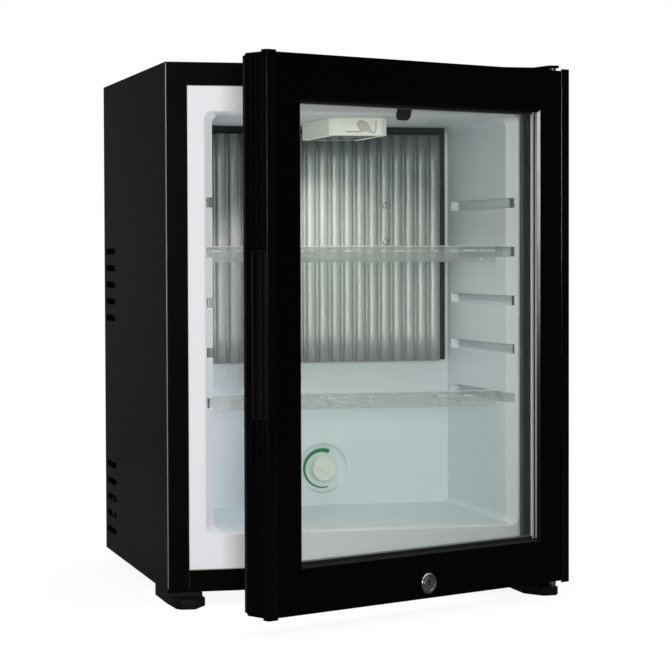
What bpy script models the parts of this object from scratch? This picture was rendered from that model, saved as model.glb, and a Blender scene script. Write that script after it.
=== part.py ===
"""A hotel minibar fridge with an insulated glass door and an absorption cooling unit.

Frame: X to the right, Y to the back, Z up, metres. The floor is Z = 0. Pieces are drawn with the
door closed and the front of the cabinet on Y = 0, and each moving body hangs on an empty that
stands on its joint. The whole model is then moved so that the middle of its footprint is the origin.
"""

import math

import bmesh
import bpy
from mathutils import Matrix, Vector

# Cabinet
CABINET_WIDTH = 0.4044
CABINET_DEPTH = 0.3996
CABINET_HEIGHT = 0.530
FOOT_HEIGHT = 0.0125
SHEET = 0.0012
FRONT_FRAME = 0.0218
TOP_FRAME = 0.0230
BASE_FRAME = 0.0220
BASE_REAR_FOLD = 0.014
GAP = 0.0003

# Louvres in both side panels
LOUVRE_COUNT = 5
LOUVRE_PITCH = 0.0188
LOUVRE_HEIGHT = 0.007
LOUVRE_LENGTH = 0.0625
LOUVRE_REAR_MARGIN = 0.0136
LOUVRE_LOW_CENTRE = 0.062
LOUVRE_HIGH_CENTRE = 0.304

# Liner and insulation
LINER_WALL = 0.0018
MOUTH_SIDE_MARGIN = 0.0392
MOUTH_BOTTOM = 0.0572
MOUTH_TOP_MARGIN = 0.0485
MOUTH_SIDE_BEVEL = 0.010
MOUTH_END_BEVEL = 0.0038
MOUTH_BEVEL_DEPTH = 0.010
CAVITY_DEPTH = 0.217
CAVITY_CORNER = 0.008
GROOVE_START = 0.0006
REAR_INSULATION = 0.045
GROOVE_COUNT = 5
GROOVE_PITCH = 0.0504
GROOVE_TOP_DROP = 0.0910
GROOVE_HEIGHT = 0.010
GROOVE_DEPTH = 0.0075
GROOVE_REAR_MARGIN = 0.010

# Cooling plate and the block behind it
PLATE_SIDE_ROOM = 0.008
RIB_PITCH = 0.014
RIB_FLAT = 0.0085
RIB_VALLEY = 0.0025
RIB_DEPTH = 0.005
PLATE_SHEET = 0.0012
PLATE_TOP_DROP = 0.0125
PLATE_HEIGHT = 0.2493
PLATE_STAND_OFF = 0.0100
BLOCK_SIDE_ROOM = 0.062
BLOCK_HEIGHT = 0.056
BLOCK_DROP = 0.1103
BLOCK_REACH = 0.006
SCREW_SPACING = 0.040
SCREW_HEAD_RADIUS = 0.0036
SCREW_HEAD_HEIGHT = 0.002
SCREW_SHANK_RADIUS = 0.0015
SCREW_LENGTH = 0.0055

# Light box
LIGHT_WIDTH = 0.061
LIGHT_FRONT = 0.020
LIGHT_LENGTH = 0.125
LIGHT_HEIGHT = 0.018
LIGHT_WALL = 0.0016
LIGHT_CORNER = 0.007
LENS_MARGIN = 0.006
LENS_THICKNESS = 0.002
BOARD_THICKNESS = 0.0016
LAMP_SIZE = 0.005
LAMP_HEIGHT = 0.0016
LEVER_RADIUS = 0.0052
LEVER_LENGTH = 0.0105
LEVER_OFFSET_X = 0.004
LEVER_THICKNESS = 0.0035
LEVER_PIVOT_LENGTH = 0.004
LEVER_DROOP = math.radians(32)

# Thermostat
DIAL_X = 0.0090
DIAL_Z = 0.1017
DISH_RADIUS = 0.028
DISH_DEPTH = 0.003
DISH_DRAFT = 0.002
KNOB_RADIUS = 0.0158
KNOB_HEIGHT = 0.012
SCALE_RADIUS = 0.0222
SCALE_THICKNESS = 0.0006
SCALE_START = math.radians(68)
SCALE_SWEEP = math.radians(218)
SCALE_WIDE = 0.0046
SCALE_NARROW = 0.0012
SHAFT_RADIUS = 0.003
SHAFT_SOCKET = 0.010
KNOB_SKIRT = 0.003
KNOB_FACET_TURN = math.radians(30)
KNOB_FACET_TILT = math.radians(9)
THERMOSTAT_REACH = 0.008
THERMOSTAT_WIDTH = 0.042
THERMOSTAT_HEIGHT = 0.032

# Shelves
SHELF_FRONT = 0.042
SHELF_REAR_GAP = 0.006
SHELF_PLATE = 0.0025
SHELF_RAIL = 0.0045
SHELF_LIP_UP = 0.0015
SHELF_LIP_DOWN = 0.0055
SHELF_LIP_THICKNESS = 0.0025
SHELF_GROOVES = (1, 4)
SHELF_RIBS = 9
SHELF_RIB_THICKNESS = 0.0016
SHELF_RIB_DROP = 0.002

# Door, closed
DOOR_SIDE_MARGIN = 0.0020
DOOR_BOTTOM = 0.0028
DOOR_TOP_MARGIN = 0.0059
DOOR_FRONT = 0.0371
DOOR_BACK = 0.0060
DOOR_AJAR = math.radians(27.756)
HINGE_INSET = 0.0067
HINGE_FORWARD = 0.0222
STILE_WIDTH = 0.0425
TOP_RAIL_WIDTH = 0.0433
BOTTOM_RAIL_WIDTH = 0.0459
REBATE_LIP = 0.0075
FRAME_LIP_THICKNESS = 0.004
FRAME_BEVEL = 0.0025
FLUTE_COUNT = 3
FLUTE_DEPTH = 0.0007
PANE = 0.004
PANE_SPACE = 0.008
SPACER_WIDTH = 0.007
SPACER_INSET = 0.003
INNER_FRAME_FLANGE = 0.0024
INNER_FRAME_INSET = 0.0012
GASKET_INSET = 0.0022
GASKET_WIDTH = 0.008
GASKET_HEIGHT = 0.0027
TRIM_FRONT = 0.0118
TRIM_SIDE = 0.0082
TRIM_PROUD = 0.0016
TRIM_OVERRUN = 0.0018
GRIP_LENGTH = 0.156
GRIP_RISE = 0.00055
GRIP_DEPTH = 0.010
GRIP_WALL = 0.0014
GRIP_FRONT = 0.0346
GRIP_BACK = 0.0150
GRIP_LIP = 0.0008

# Lock and light magnet
LOCK_RING_RADIUS = 0.0102
LOCK_BARREL_RADIUS = 0.0066
LOCK_OFFSET_X = 0.0027
LOCK_CENTRE = 0.0175
LOCK_STEM_RADIUS = 0.0028
LOCK_RING_PROUD = 0.0016
LOCK_BARREL_PROUD = 0.0012
LOCK_BARREL_BACK = 0.001
KEYWAY_WIDTH = 0.0016
KEYWAY_HEIGHT = 0.0076
KEYWAY_DEPTH = 0.004
TONGUE_LENGTH = 0.0115
TONGUE_HALF_WIDTH = 0.0030
TONGUE_THICKNESS = 0.0016
TONGUE_CLEARANCE = 0.0012
STRIKER_WIDTH = 0.0175
STRIKER_OFFSET_X = -0.00975
STRIKER_DROP = 0.0130
STRIKER_DEPTH = 0.003
STRIKER_LEAN = 0.27
STRIKER_CORNER = 0.005

# Hinges and feet
PIN_RADIUS = 0.0026
PIN_INSERT = 0.010
PIN_COLLAR_RADIUS = 0.0038
BUSHING_RADIUS = 0.0048
BUSHING_LENGTH = 0.012
FOOT_WIDTH = 0.0345
FOOT_BACK = 0.078
FOOT_FRONT = 0.0352
FOOT_CHAMFER = 0.014
FOOT_SIDE_INSET = 0.0007
FOOT_SOCKET_FLOOR = 0.0044
TOE_DROP = 0.0037
BRACKET_THICKNESS = 0.0022
BRACKET_LEG_SHEET = 0.0016
BRACKET_SIDE_INSET = 0.0006
BRACKET_WIDTH = 0.0190
BRACKET_NOSE = 0.0065
BRACKET_LEG = 0.0078
BRACKET_SCREW_RADIUS = 0.0024
BRACKET_SCREW_HEAD = 0.0008
BRACKET_FRONT = 0.0300
REAR_FOOT_RADIUS = 0.014
REAR_FOOT_INSET = 0.040

# Cooling unit in the rear bay
UNIT_CENTRE_DEPTH = 0.062
TUBE_RADIUS = 0.008
CONDENSER_DROP = 0.068
UNIT_SIDE_ROOM = 0.0772
FIN_END_ROOM = 0.037
FIN_PITCH = 0.0145
FIN_HALF_SIZE = 0.0225
FIN_THICKNESS = 0.0008
FIN_COLLAR = 0.0011
TANK_RADIUS = 0.0225
TANK_LENGTH = 0.200
TANK_HEIGHT = 0.062
TANK_CENTRE_X = -0.050
COIL_RUNS = 5
COIL_PITCH = 0.036
COIL_BOTTOM = 0.110
COIL_HALF_WIDTH = 0.080
COIL_CENTRE_X = -0.050
COIL_SLOPE = 0.010
BOILER_RADIUS = 0.027
BOILER_BOTTOM = 0.045
BOILER_TOP = 0.330
HEATER_RADIUS = 0.006
HEATER_DEPTH = 0.060
HEATER_PROUD = 0.014
CONDENSER_FALL = 0.016
BRACE_HEIGHT = 0.024
BRACE_SHEET = 0.0015
BRACE_FOLD = 0.016
CONTROL_WIDTH = 0.075
CONTROL_HEIGHT = 0.050
CONTROL_DEPTH = 0.034
CONTROL_INSET = 0.012
CONTROL_DROP = 0.1092
INLET_FLANGE_RADIUS = 0.009
INLET_NECK_RADIUS = 0.0055
INLET_BORE_RADIUS = 0.0036
INLET_LENGTH = 0.015
ROUND_SIDES = 24
TUBE_SIDES = 12

# Levels and planes worked out from the sizes above
HALF = CABINET_WIDTH / 2
MOUTH_WIDTH = CABINET_WIDTH - 2 * MOUTH_SIDE_MARGIN
MOUTH_TOP = CABINET_HEIGHT - MOUTH_TOP_MARGIN
FLOOR_OF_CABINET = FOOT_HEIGHT
TOP_OF_CABINET = FOOT_HEIGHT + CABINET_HEIGHT
INNER_HALF = HALF - SHEET
WALL_HALF = MOUTH_WIDTH / 2 - MOUTH_SIDE_BEVEL
CAVITY_FLOOR = FLOOR_OF_CABINET + MOUTH_BOTTOM + MOUTH_END_BEVEL
CAVITY_CEILING = FLOOR_OF_CABINET + MOUTH_TOP - MOUTH_END_BEVEL
PLATE_RIBS = 2 * int((WALL_HALF - PLATE_SIDE_ROOM) / RIB_PITCH)
PLATE_LOW = FLOOR_OF_CABINET + MOUTH_TOP - PLATE_TOP_DROP - PLATE_HEIGHT
BLOCK_WIDTH = 2 * (WALL_HALF - BLOCK_SIDE_ROOM)
SCREW_COLUMN = int(BLOCK_WIDTH / 2 / RIB_PITCH) - 0.5
FOAM_BACK = CAVITY_DEPTH + REAR_INSULATION
PLATE_BACK = CAVITY_DEPTH - PLATE_STAND_OFF
BLOCK_Z = FLOOR_OF_CABINET + MOUTH_TOP - BLOCK_DROP
DIAL_LEVEL = FLOOR_OF_CABINET + DIAL_Z
DOOR_LEFT = DOOR_SIDE_MARGIN - HALF
DOOR_LOW = FLOOR_OF_CABINET + DOOR_BOTTOM
DOOR_HIGH = TOP_OF_CABINET - DOOR_TOP_MARGIN
HINGE_X = HALF - HINGE_INSET
LOCK_X = (DOOR_LEFT + HALF) / 2 + LOCK_OFFSET_X
LOCK_Z = FLOOR_OF_CABINET + LOCK_CENTRE
UNIT_Y = FOAM_BACK + UNIT_CENTRE_DEPTH
BOILER_X = HALF - UNIT_SIDE_ROOM
CONDENSER_REACH = HALF - UNIT_SIDE_ROOM
FIN_COUNT = int(2 * (CONDENSER_REACH - FIN_END_ROOM) / FIN_PITCH)


def clear_scene():
    """Remove every object of the open scene."""
    for item in list(bpy.data.objects):
        bpy.data.objects.remove(item, do_unlink=True)


def make_material(name, colour, roughness, metallic=0.0, alpha=1.0):
    """Return a Principled material with the given colour and finish."""
    material = bpy.data.materials.new(name)
    material.use_nodes = True
    shader = material.node_tree.nodes["Principled BSDF"]
    shader.inputs["Base Color"].default_value = (*colour, 1.0)
    shader.inputs["Roughness"].default_value = roughness
    shader.inputs["Metallic"].default_value = metallic
    shader.inputs["Alpha"].default_value = alpha
    return material


class Body:
    """One rigid body: an empty on its joint, and the named solids that move with it."""

    def __init__(self, name, origin=(0.0, 0.0, 0.0), parent=None):
        self.origin = Vector(origin)
        self.empty = bpy.data.objects.new(name, None)
        bpy.context.scene.collection.objects.link(self.empty)
        self.empty.location = self.origin
        if parent is not None:
            self.empty.parent = parent.empty
            self.empty.location = self.origin - parent.origin

    def add(self, name, mesh_builder, material=None, smooth=False):
        """Turn a bmesh drawn in the closed cabinet's frame into an object of this body."""
        bmesh.ops.translate(mesh_builder, vec=-self.origin, verts=mesh_builder.verts)
        bmesh.ops.recalc_face_normals(mesh_builder, faces=mesh_builder.faces)
        mesh = bpy.data.meshes.new(name)
        mesh_builder.to_mesh(mesh)
        mesh_builder.free()
        item = bpy.data.objects.new(name, mesh)
        bpy.context.scene.collection.objects.link(item)
        item.parent = self.empty
        if material is not None:
            mesh.materials.append(material)
        if smooth:
            mesh.shade_smooth()
            mesh.set_sharp_from_angle(angle=math.radians(35))
        return item

    def cut(self, target, mesh_builder, operation="DIFFERENCE"):
        """Cut or join a target of this body with a hidden solid."""
        cutter = self.add(target.name + "_cutter", mesh_builder)
        cutter.hide_render = True
        cutter.display_type = "WIRE"
        step = target.modifiers.new("Boolean", "BOOLEAN")
        step.operation = operation
        step.solver = "EXACT"
        step.object = cutter
        return cutter

    def round_edges(self, target, width, angle=50):
        """Round the sharp edges of a target."""
        step = target.modifiers.new("Bevel", "BEVEL")
        step.width = width
        step.segments = 1
        step.limit_method = "ANGLE"
        step.angle_limit = math.radians(angle)
        step.use_clamp_overlap = True


def join(*builders):
    """Return one bmesh that holds all the given ones as separate shells."""
    result = bmesh.new()
    for builder in builders:
        mesh = bpy.data.meshes.new("part")
        builder.to_mesh(mesh)
        builder.free()
        result.from_mesh(mesh)
        bpy.data.meshes.remove(mesh)
    return result


def box(x_range, y_range, z_range):
    """Return a box between the given limits."""
    builder = bmesh.new()
    bmesh.ops.create_cube(builder, size=1.0)
    lows = Vector((min(x_range), min(y_range), min(z_range)))
    highs = Vector((max(x_range), max(y_range), max(z_range)))
    for vertex in builder.verts:
        share = vertex.co + Vector((0.5, 0.5, 0.5))
        vertex.co = Vector([lows[i] + share[i] * (highs[i] - lows[i]) for i in range(3)])
    return builder


def prism(outline, axis, start, end):
    """Extrude a closed outline along an axis; its points are the other two coordinates in order."""
    builder = bmesh.new()

    def place(point, level):
        coordinates = list(point)
        coordinates.insert("XYZ".index(axis), level)
        return Vector(coordinates)

    ring = [builder.verts.new(place(point, start)) for point in outline]
    face = builder.faces.new(ring)
    grown = bmesh.ops.extrude_face_region(builder, geom=[face])
    shift = place((0.0, 0.0), end - start)
    moved = [item for item in grown["geom"] if isinstance(item, bmesh.types.BMVert)]
    bmesh.ops.translate(builder, vec=shift, verts=moved)
    bmesh.ops.recalc_face_normals(builder, faces=builder.faces)
    return builder


def rounded_rectangle(x_range, y_range, radius, steps=3):
    """Return the outline of a rectangle with round corners."""
    points = []
    corners = (
        (max(x_range) - radius, max(y_range) - radius, 0),
        (min(x_range) + radius, max(y_range) - radius, 90),
        (min(x_range) + radius, min(y_range) + radius, 180),
        (max(x_range) - radius, min(y_range) + radius, 270),
    )
    for centre_x, centre_y, first in corners:
        for step in range(steps + 1):
            angle = math.radians(first + 90 * step / steps)
            points.append((centre_x + radius * math.cos(angle), centre_y + radius * math.sin(angle)))
    return points


def turned(profile, axis, centre, sides=ROUND_SIDES):
    """Revolve (radius, level) pairs, first and last on the axis, about a line along X, Y or Z."""
    builder = bmesh.new()
    rings = []
    for radius, level in profile:
        if radius < 1e-7:
            rings.append([builder.verts.new((0.0, 0.0, level))])
            continue
        ring = []
        for side in range(sides):
            angle = 2 * math.pi * side / sides
            ring.append(builder.verts.new((radius * math.cos(angle), radius * math.sin(angle), level)))
        rings.append(ring)
    for lower, upper in zip(rings, rings[1:]):
        for side in range(sides):
            after = (side + 1) % sides
            corners = [lower[side % len(lower)], lower[after % len(lower)]]
            corners += [upper[after % len(upper)], upper[side % len(upper)]]
            unique = list(dict.fromkeys(corners))
            builder.faces.new(unique)
    turn = {
        "X": Matrix.Rotation(math.pi / 2, 3, "Y"),
        "Y": Matrix.Rotation(-math.pi / 2, 3, "X"),
        "Z": Matrix.Identity(3),
    }[axis]
    for vertex in builder.verts:
        vertex.co = turn @ vertex.co + Vector(centre)
    bmesh.ops.recalc_face_normals(builder, faces=builder.faces)
    return builder


def rod(radius, axis, centre, start, end, sides=ROUND_SIDES):
    """Return a plain cylinder from start to end, measured from the centre along the axis."""
    return turned([(0, start), (radius, start), (radius, end), (0, end)], axis, centre, sides)


def smooth_route(points, bend, steps=4):
    """Return the route through the points with each inner corner replaced by an arc."""
    route = [Vector(points[0])]
    for before, corner, after in zip(points, points[1:], points[2:]):
        corner = Vector(corner)
        arm_in = Vector(before) - corner
        arm_out = Vector(after) - corner
        reach = min(bend, arm_in.length * 0.49, arm_out.length * 0.49)
        first = corner + arm_in.normalized() * reach
        last = corner + arm_out.normalized() * reach
        for step in range(steps + 1):
            share = step / steps
            route.append(first * (1 - share) ** 2 + corner * 2 * share * (1 - share) + last * share ** 2)
    route.append(Vector(points[-1]))
    return route


def tube(points, radius, bend, sides=TUBE_SIDES, steps=4):
    """Return a round bar along a route, with a ring at each point turned with the route."""
    route = smooth_route(points, bend, steps)
    builder = bmesh.new()
    rings = []
    normal = None
    for index, point in enumerate(route):
        behind = route[max(index - 1, 0)]
        ahead = route[min(index + 1, len(route) - 1)]
        tangent = (ahead - behind).normalized()
        if normal is None:
            helper = Vector((0, 0, 1)) if abs(tangent.z) < 0.9 else Vector((0, 1, 0))
            normal = (helper - tangent * helper.dot(tangent)).normalized()
        else:
            normal = (normal - tangent * normal.dot(tangent)).normalized()
        side_way = tangent.cross(normal)
        ring = []
        for side in range(sides):
            angle = 2 * math.pi * side / sides
            spoke = math.cos(angle) * normal + math.sin(angle) * side_way
            ring.append(builder.verts.new(point + radius * spoke))
        rings.append(ring)
    for lower, upper in zip(rings, rings[1:]):
        for side in range(sides):
            after = (side + 1) % sides
            builder.faces.new((lower[side], lower[after], upper[after], upper[side]))
    builder.faces.new(rings[0][::-1])
    builder.faces.new(rings[-1])
    bmesh.ops.recalc_face_normals(builder, faces=builder.faces)
    return builder


def loft(rings):
    """Return the solid through outlines of equal length, each given as (y, [(x, z), ...])."""
    builder = bmesh.new()
    loops = [[builder.verts.new((x, y, z)) for x, z in outline] for y, outline in rings]
    count = len(loops[0])
    for lower, upper in zip(loops, loops[1:]):
        for index in range(count):
            after = (index + 1) % count
            builder.faces.new((lower[index], lower[after], upper[after], upper[index]))
    builder.faces.new(loops[0])
    builder.faces.new(loops[-1][::-1])
    bmesh.ops.recalc_face_normals(builder, faces=builder.faces)
    return builder


def cavity_volume(grow=0.0, front=-0.004):
    """Return the inside of the liner, grown on every side, from its mouth to the back wall."""
    mouth_x = MOUTH_WIDTH / 2 + grow
    mouth_low = FLOOR_OF_CABINET + MOUTH_BOTTOM - grow
    mouth_high = FLOOR_OF_CABINET + MOUTH_TOP + grow
    wall_x = WALL_HALF + grow
    mouth = rounded_rectangle((-mouth_x, mouth_x), (mouth_low, mouth_high), CAVITY_CORNER + grow)
    wall_z = (CAVITY_FLOOR - grow, CAVITY_CEILING + grow)
    wall = rounded_rectangle((-wall_x, wall_x), wall_z, CAVITY_CORNER + grow)
    return loft([(front, mouth), (0.0, mouth), (MOUTH_BEVEL_DEPTH, wall), (CAVITY_DEPTH + grow, wall)])


def groove_centre(number):
    """Return the height of a shelf groove, counted from the top."""
    return FLOOR_OF_CABINET + MOUTH_TOP - GROOVE_TOP_DROP - number * GROOVE_PITCH


def groove_volumes(grow=0.0):
    """Return the bars that make the shelf grooves in both side walls."""
    bars = []
    inner = WALL_HALF - 0.003
    outer = WALL_HALF + GROOVE_DEPTH + grow
    end = CAVITY_DEPTH - GROOVE_REAR_MARGIN + grow
    taper = end - GROOVE_DEPTH
    for number in range(GROOVE_COUNT):
        centre = groove_centre(number)
        low = centre - GROOVE_HEIGHT / 2 - grow
        high = centre + GROOVE_HEIGHT / 2 + grow
        for side in (-1, 1):
            outline = [(side * inner, GROOVE_START), (side * outer, GROOVE_START)]
            outline += [(side * outer, taper), (side * inner, end)]
            bars.append(prism(outline, "Z", low, high))
    return join(*bars)


def dish_volume(grow=0.0):
    """Return the shallow round dish round the dial in the back wall."""
    depth = DISH_DEPTH + grow
    radius = DISH_RADIUS + grow
    profile = [(0, -0.002), (radius, -0.002), (radius, 0.0), (radius - DISH_DRAFT, depth), (0, depth)]
    return turned(profile, "Y", (DIAL_X, CAVITY_DEPTH, DIAL_LEVEL))


def louvre_slots():
    """Return the cutters of the two groups of slots in both side panels."""
    slots = []
    end = CABINET_DEPTH - LOUVRE_REAR_MARGIN
    for centre in (LOUVRE_LOW_CENTRE, LOUVRE_HIGH_CENTRE):
        for number in range(LOUVRE_COUNT):
            level = FLOOR_OF_CABINET + centre + (number - (LOUVRE_COUNT - 1) / 2) * LOUVRE_PITCH
            outline = rounded_rectangle(
                (end - LOUVRE_LENGTH, end), (level - LOUVRE_HEIGHT / 2, level + LOUVRE_HEIGHT / 2),
                LOUVRE_HEIGHT * 0.45, 2)
            for side in (-1, 1):
                slots.append(prism(outline, "X", side * (HALF + 0.002), side * (INNER_HALF - 0.002)))
    return join(*slots)


def bracket_screw_places():
    """Return the centres of the two screws of the upper hinge bracket."""
    level = TOP_OF_CABINET - BRACKET_LEG * 0.6
    return [(HALF - BRACKET_WIDTH * share, level) for share in (0.25, 0.72)]


def build_shell(cabinet, steel):
    """Fold the two side panels, the top and their front returns."""
    low = FLOOR_OF_CABINET
    high = TOP_OF_CABINET
    shell = cabinet.add("outer_shell", box((-HALF, HALF), (0, CABINET_DEPTH), (low, high)), steel)
    inside = box((-INNER_HALF, INNER_HALF), (SHEET, CABINET_DEPTH + 0.01), (low - 0.01, high - SHEET))
    cabinet.cut(shell, inside)
    window = HALF - FRONT_FRAME
    cabinet.cut(shell, box((-window, window), (-0.01, SHEET + 0.01), (low - 0.01, high - TOP_FRAME)))
    cabinet.cut(shell, louvre_slots())


def build_base_pan(cabinet, steel):
    """Fold the floor of the cabinet with its front flange, which holds the slot of the lock."""
    low = FLOOR_OF_CABINET
    side = INNER_HALF - GAP
    front_top = low + BASE_FRAME - GAP
    rear = CABINET_DEPTH - 0.001
    profile = [
        (0, low), (rear, low), (rear, low + BASE_REAR_FOLD), (rear - SHEET, low + BASE_REAR_FOLD),
        (rear - SHEET, low + SHEET), (SHEET, low + SHEET), (SHEET, front_top), (0, front_top),
    ]
    pan = cabinet.add("base_pan", prism(profile, "X", -side, side), steel)
    notch_start = HALF - FRONT_FRAME - GAP
    notches = [
        box((sign * notch_start, sign * (side + 0.01)), (-0.01, SHEET + GAP), (low - 0.01, front_top + 0.01))
        for sign in (-1, 1)
    ]
    cabinet.cut(pan, join(*notches))
    slot_z = TONGUE_HALF_WIDTH + TONGUE_CLEARANCE
    slot_x = (LOCK_X - slot_z, LOCK_X + TONGUE_LENGTH + TONGUE_CLEARANCE)
    cabinet.cut(pan, box(slot_x, (-0.01, SHEET + 0.001), (LOCK_Z - slot_z, LOCK_Z + slot_z)))


def block_opening(grow, y_range):
    """Return the space that the evaporator block takes, grown sideways."""
    half = BLOCK_WIDTH / 2 + grow
    high = BLOCK_HEIGHT / 2 + grow
    return box((-half, half), y_range, (BLOCK_Z - high, BLOCK_Z + high))


def thermostat_opening(grow, y_range):
    """Return the space that the thermostat takes, grown sideways."""
    half = THERMOSTAT_WIDTH / 2 + grow
    high = THERMOSTAT_HEIGHT / 2 + grow
    return box((DIAL_X - half, DIAL_X + half), y_range, (DIAL_LEVEL - high, DIAL_LEVEL + high))


def build_liner(cabinet, plastic):
    """Form the white liner: flange, bevelled mouth, grooves, dish and the openings in its back."""
    side = HALF - FRONT_FRAME - GAP
    low = FLOOR_OF_CABINET + BASE_FRAME + GAP
    high = TOP_OF_CABINET - TOP_FRAME - GAP
    liner = cabinet.add("inner_liner", cavity_volume(LINER_WALL, 0.0005), plastic)
    cabinet.cut(liner, box((-side, side), (0, LINER_WALL), (low, high)), "UNION")
    cabinet.cut(liner, groove_volumes(LINER_WALL), "UNION")
    cabinet.cut(liner, dish_volume(LINER_WALL), "UNION")
    cabinet.cut(liner, cavity_volume())
    cabinet.cut(liner, groove_volumes())
    cabinet.cut(liner, dish_volume())
    wall = (CAVITY_DEPTH - 0.002, CAVITY_DEPTH + LINER_WALL + 0.002)
    cabinet.cut(liner, block_opening(GAP, wall))
    centre = (DIAL_X, CAVITY_DEPTH, DIAL_LEVEL)
    cabinet.cut(liner, rod(SHAFT_RADIUS + GAP, "Y", centre, -0.002, DISH_DEPTH + 0.006, 16))


def build_foam(cabinet, foam_finish, steel):
    """Fill the space between shell and liner, and close it behind with a sheet."""
    side = INNER_HALF - GAP
    low = FLOOR_OF_CABINET + SHEET + GAP
    high = TOP_OF_CABINET - SHEET - GAP
    front = LINER_WALL + GAP
    block = box((-side, side), (front, FOAM_BACK), (low, high))
    foam = cabinet.add("insulation_foam", block, foam_finish)
    grow = LINER_WALL + GAP
    cabinet.cut(foam, cavity_volume(grow))
    cabinet.cut(foam, groove_volumes(grow))
    cabinet.cut(foam, dish_volume(grow))
    through = (CAVITY_DEPTH - 0.004, FOAM_BACK + 0.004)
    cabinet.cut(foam, block_opening(GAP, through))
    cabinet.cut(foam, thermostat_opening(GAP, through))
    pocket = TONGUE_LENGTH + 2 * TONGUE_CLEARANCE
    lock_room = box((LOCK_X - pocket, LOCK_X + pocket), (-0.01, 0.010), (low - 0.01, LOCK_Z + pocket * 0.5))
    cabinet.cut(foam, lock_room)
    back = (FOAM_BACK + GAP, FOAM_BACK + GAP + SHEET)
    panel = cabinet.add("rear_insulation_panel", box((-side, side), back, (low, high)), steel)
    wide = (FOAM_BACK - 0.004, FOAM_BACK + 0.006)
    cabinet.cut(panel, block_opening(GAP, wide))
    cabinet.cut(panel, thermostat_opening(GAP, wide))


def rib_wave(offset):
    """Return the (x, y) points of the corrugated sheet's centre line, moved along Y."""
    points = []
    slope = (RIB_PITCH - RIB_FLAT - RIB_VALLEY) / 2
    front = PLATE_BACK - PLATE_SHEET / 2 - RIB_DEPTH + offset
    rear = PLATE_BACK - PLATE_SHEET / 2 + offset
    start = -PLATE_RIBS * RIB_PITCH / 2
    for rib in range(PLATE_RIBS):
        left = start + rib * RIB_PITCH
        first = left + RIB_VALLEY / 2
        points.append((left, rear) if rib == 0 else (first - RIB_VALLEY, rear))
        points.append((first, rear))
        points.append((first + slope, front))
        points.append((first + slope + RIB_FLAT, front))
    points.append((start + PLATE_RIBS * RIB_PITCH - RIB_VALLEY / 2, rear))
    points.append((start + PLATE_RIBS * RIB_PITCH, rear))
    return points


def plate_screw_places():
    """Return the centres of the four screws that hold the cooling plate to its block."""
    return [
        (side * SCREW_COLUMN * RIB_PITCH, BLOCK_Z + level * SCREW_SPACING / 2)
        for side in (-1, 1) for level in (-1, 1)
    ]


def build_cooling_plate(cabinet, aluminium, steel):
    """Bend the corrugated plate and screw it to the block that carries the cold through the foam."""
    outline = rib_wave(-PLATE_SHEET / 2) + rib_wave(PLATE_SHEET / 2)[::-1]
    outline = list(dict.fromkeys(outline))
    outline = prism(outline, "Z", PLATE_LOW, PLATE_LOW + PLATE_HEIGHT)
    plate = cabinet.add("cooling_plate", outline, aluminium)
    plate_front = PLATE_BACK - PLATE_SHEET - RIB_DEPTH
    hole = SCREW_SHANK_RADIUS + GAP
    places = plate_screw_places()
    holes = [rod(hole, "Y", (x, plate_front, z), -0.001, PLATE_SHEET + 0.001, 10) for x, z in places]
    cabinet.cut(plate, join(*holes))

    reach = (PLATE_BACK + GAP, FOAM_BACK + BLOCK_REACH)
    block = cabinet.add("evaporator_block", block_opening(0, reach), aluminium)
    boss_height = RIB_DEPTH - GAP
    boss_radius = RIB_FLAT / 2 - PLATE_SHEET
    bosses = [rod(boss_radius, "Y", (x, PLATE_BACK + GAP, z), -boss_height, 0.002, 12) for x, z in places]
    cabinet.cut(block, join(*bosses), "UNION")
    depth = SCREW_LENGTH + 0.001
    wells = [rod(hole, "Y", (x, plate_front, z), -0.001, depth, 10) for x, z in places]
    cabinet.cut(block, join(*wells))

    for number, (x, z) in enumerate(places, 1):
        profile = [(0, -GAP - SCREW_HEAD_HEIGHT), (SCREW_HEAD_RADIUS * 0.7, -GAP - SCREW_HEAD_HEIGHT)]
        profile += [(SCREW_HEAD_RADIUS, -GAP - SCREW_HEAD_HEIGHT / 2), (SCREW_HEAD_RADIUS, -GAP)]
        profile += [(SCREW_SHANK_RADIUS, -GAP), (SCREW_SHANK_RADIUS, SCREW_LENGTH), (0, SCREW_LENGTH)]
        screw = turned(profile, "Y", (x, plate_front, z), 12)
        cabinet.add(f"plate_screw_{number}", screw, steel, smooth=True)


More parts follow.
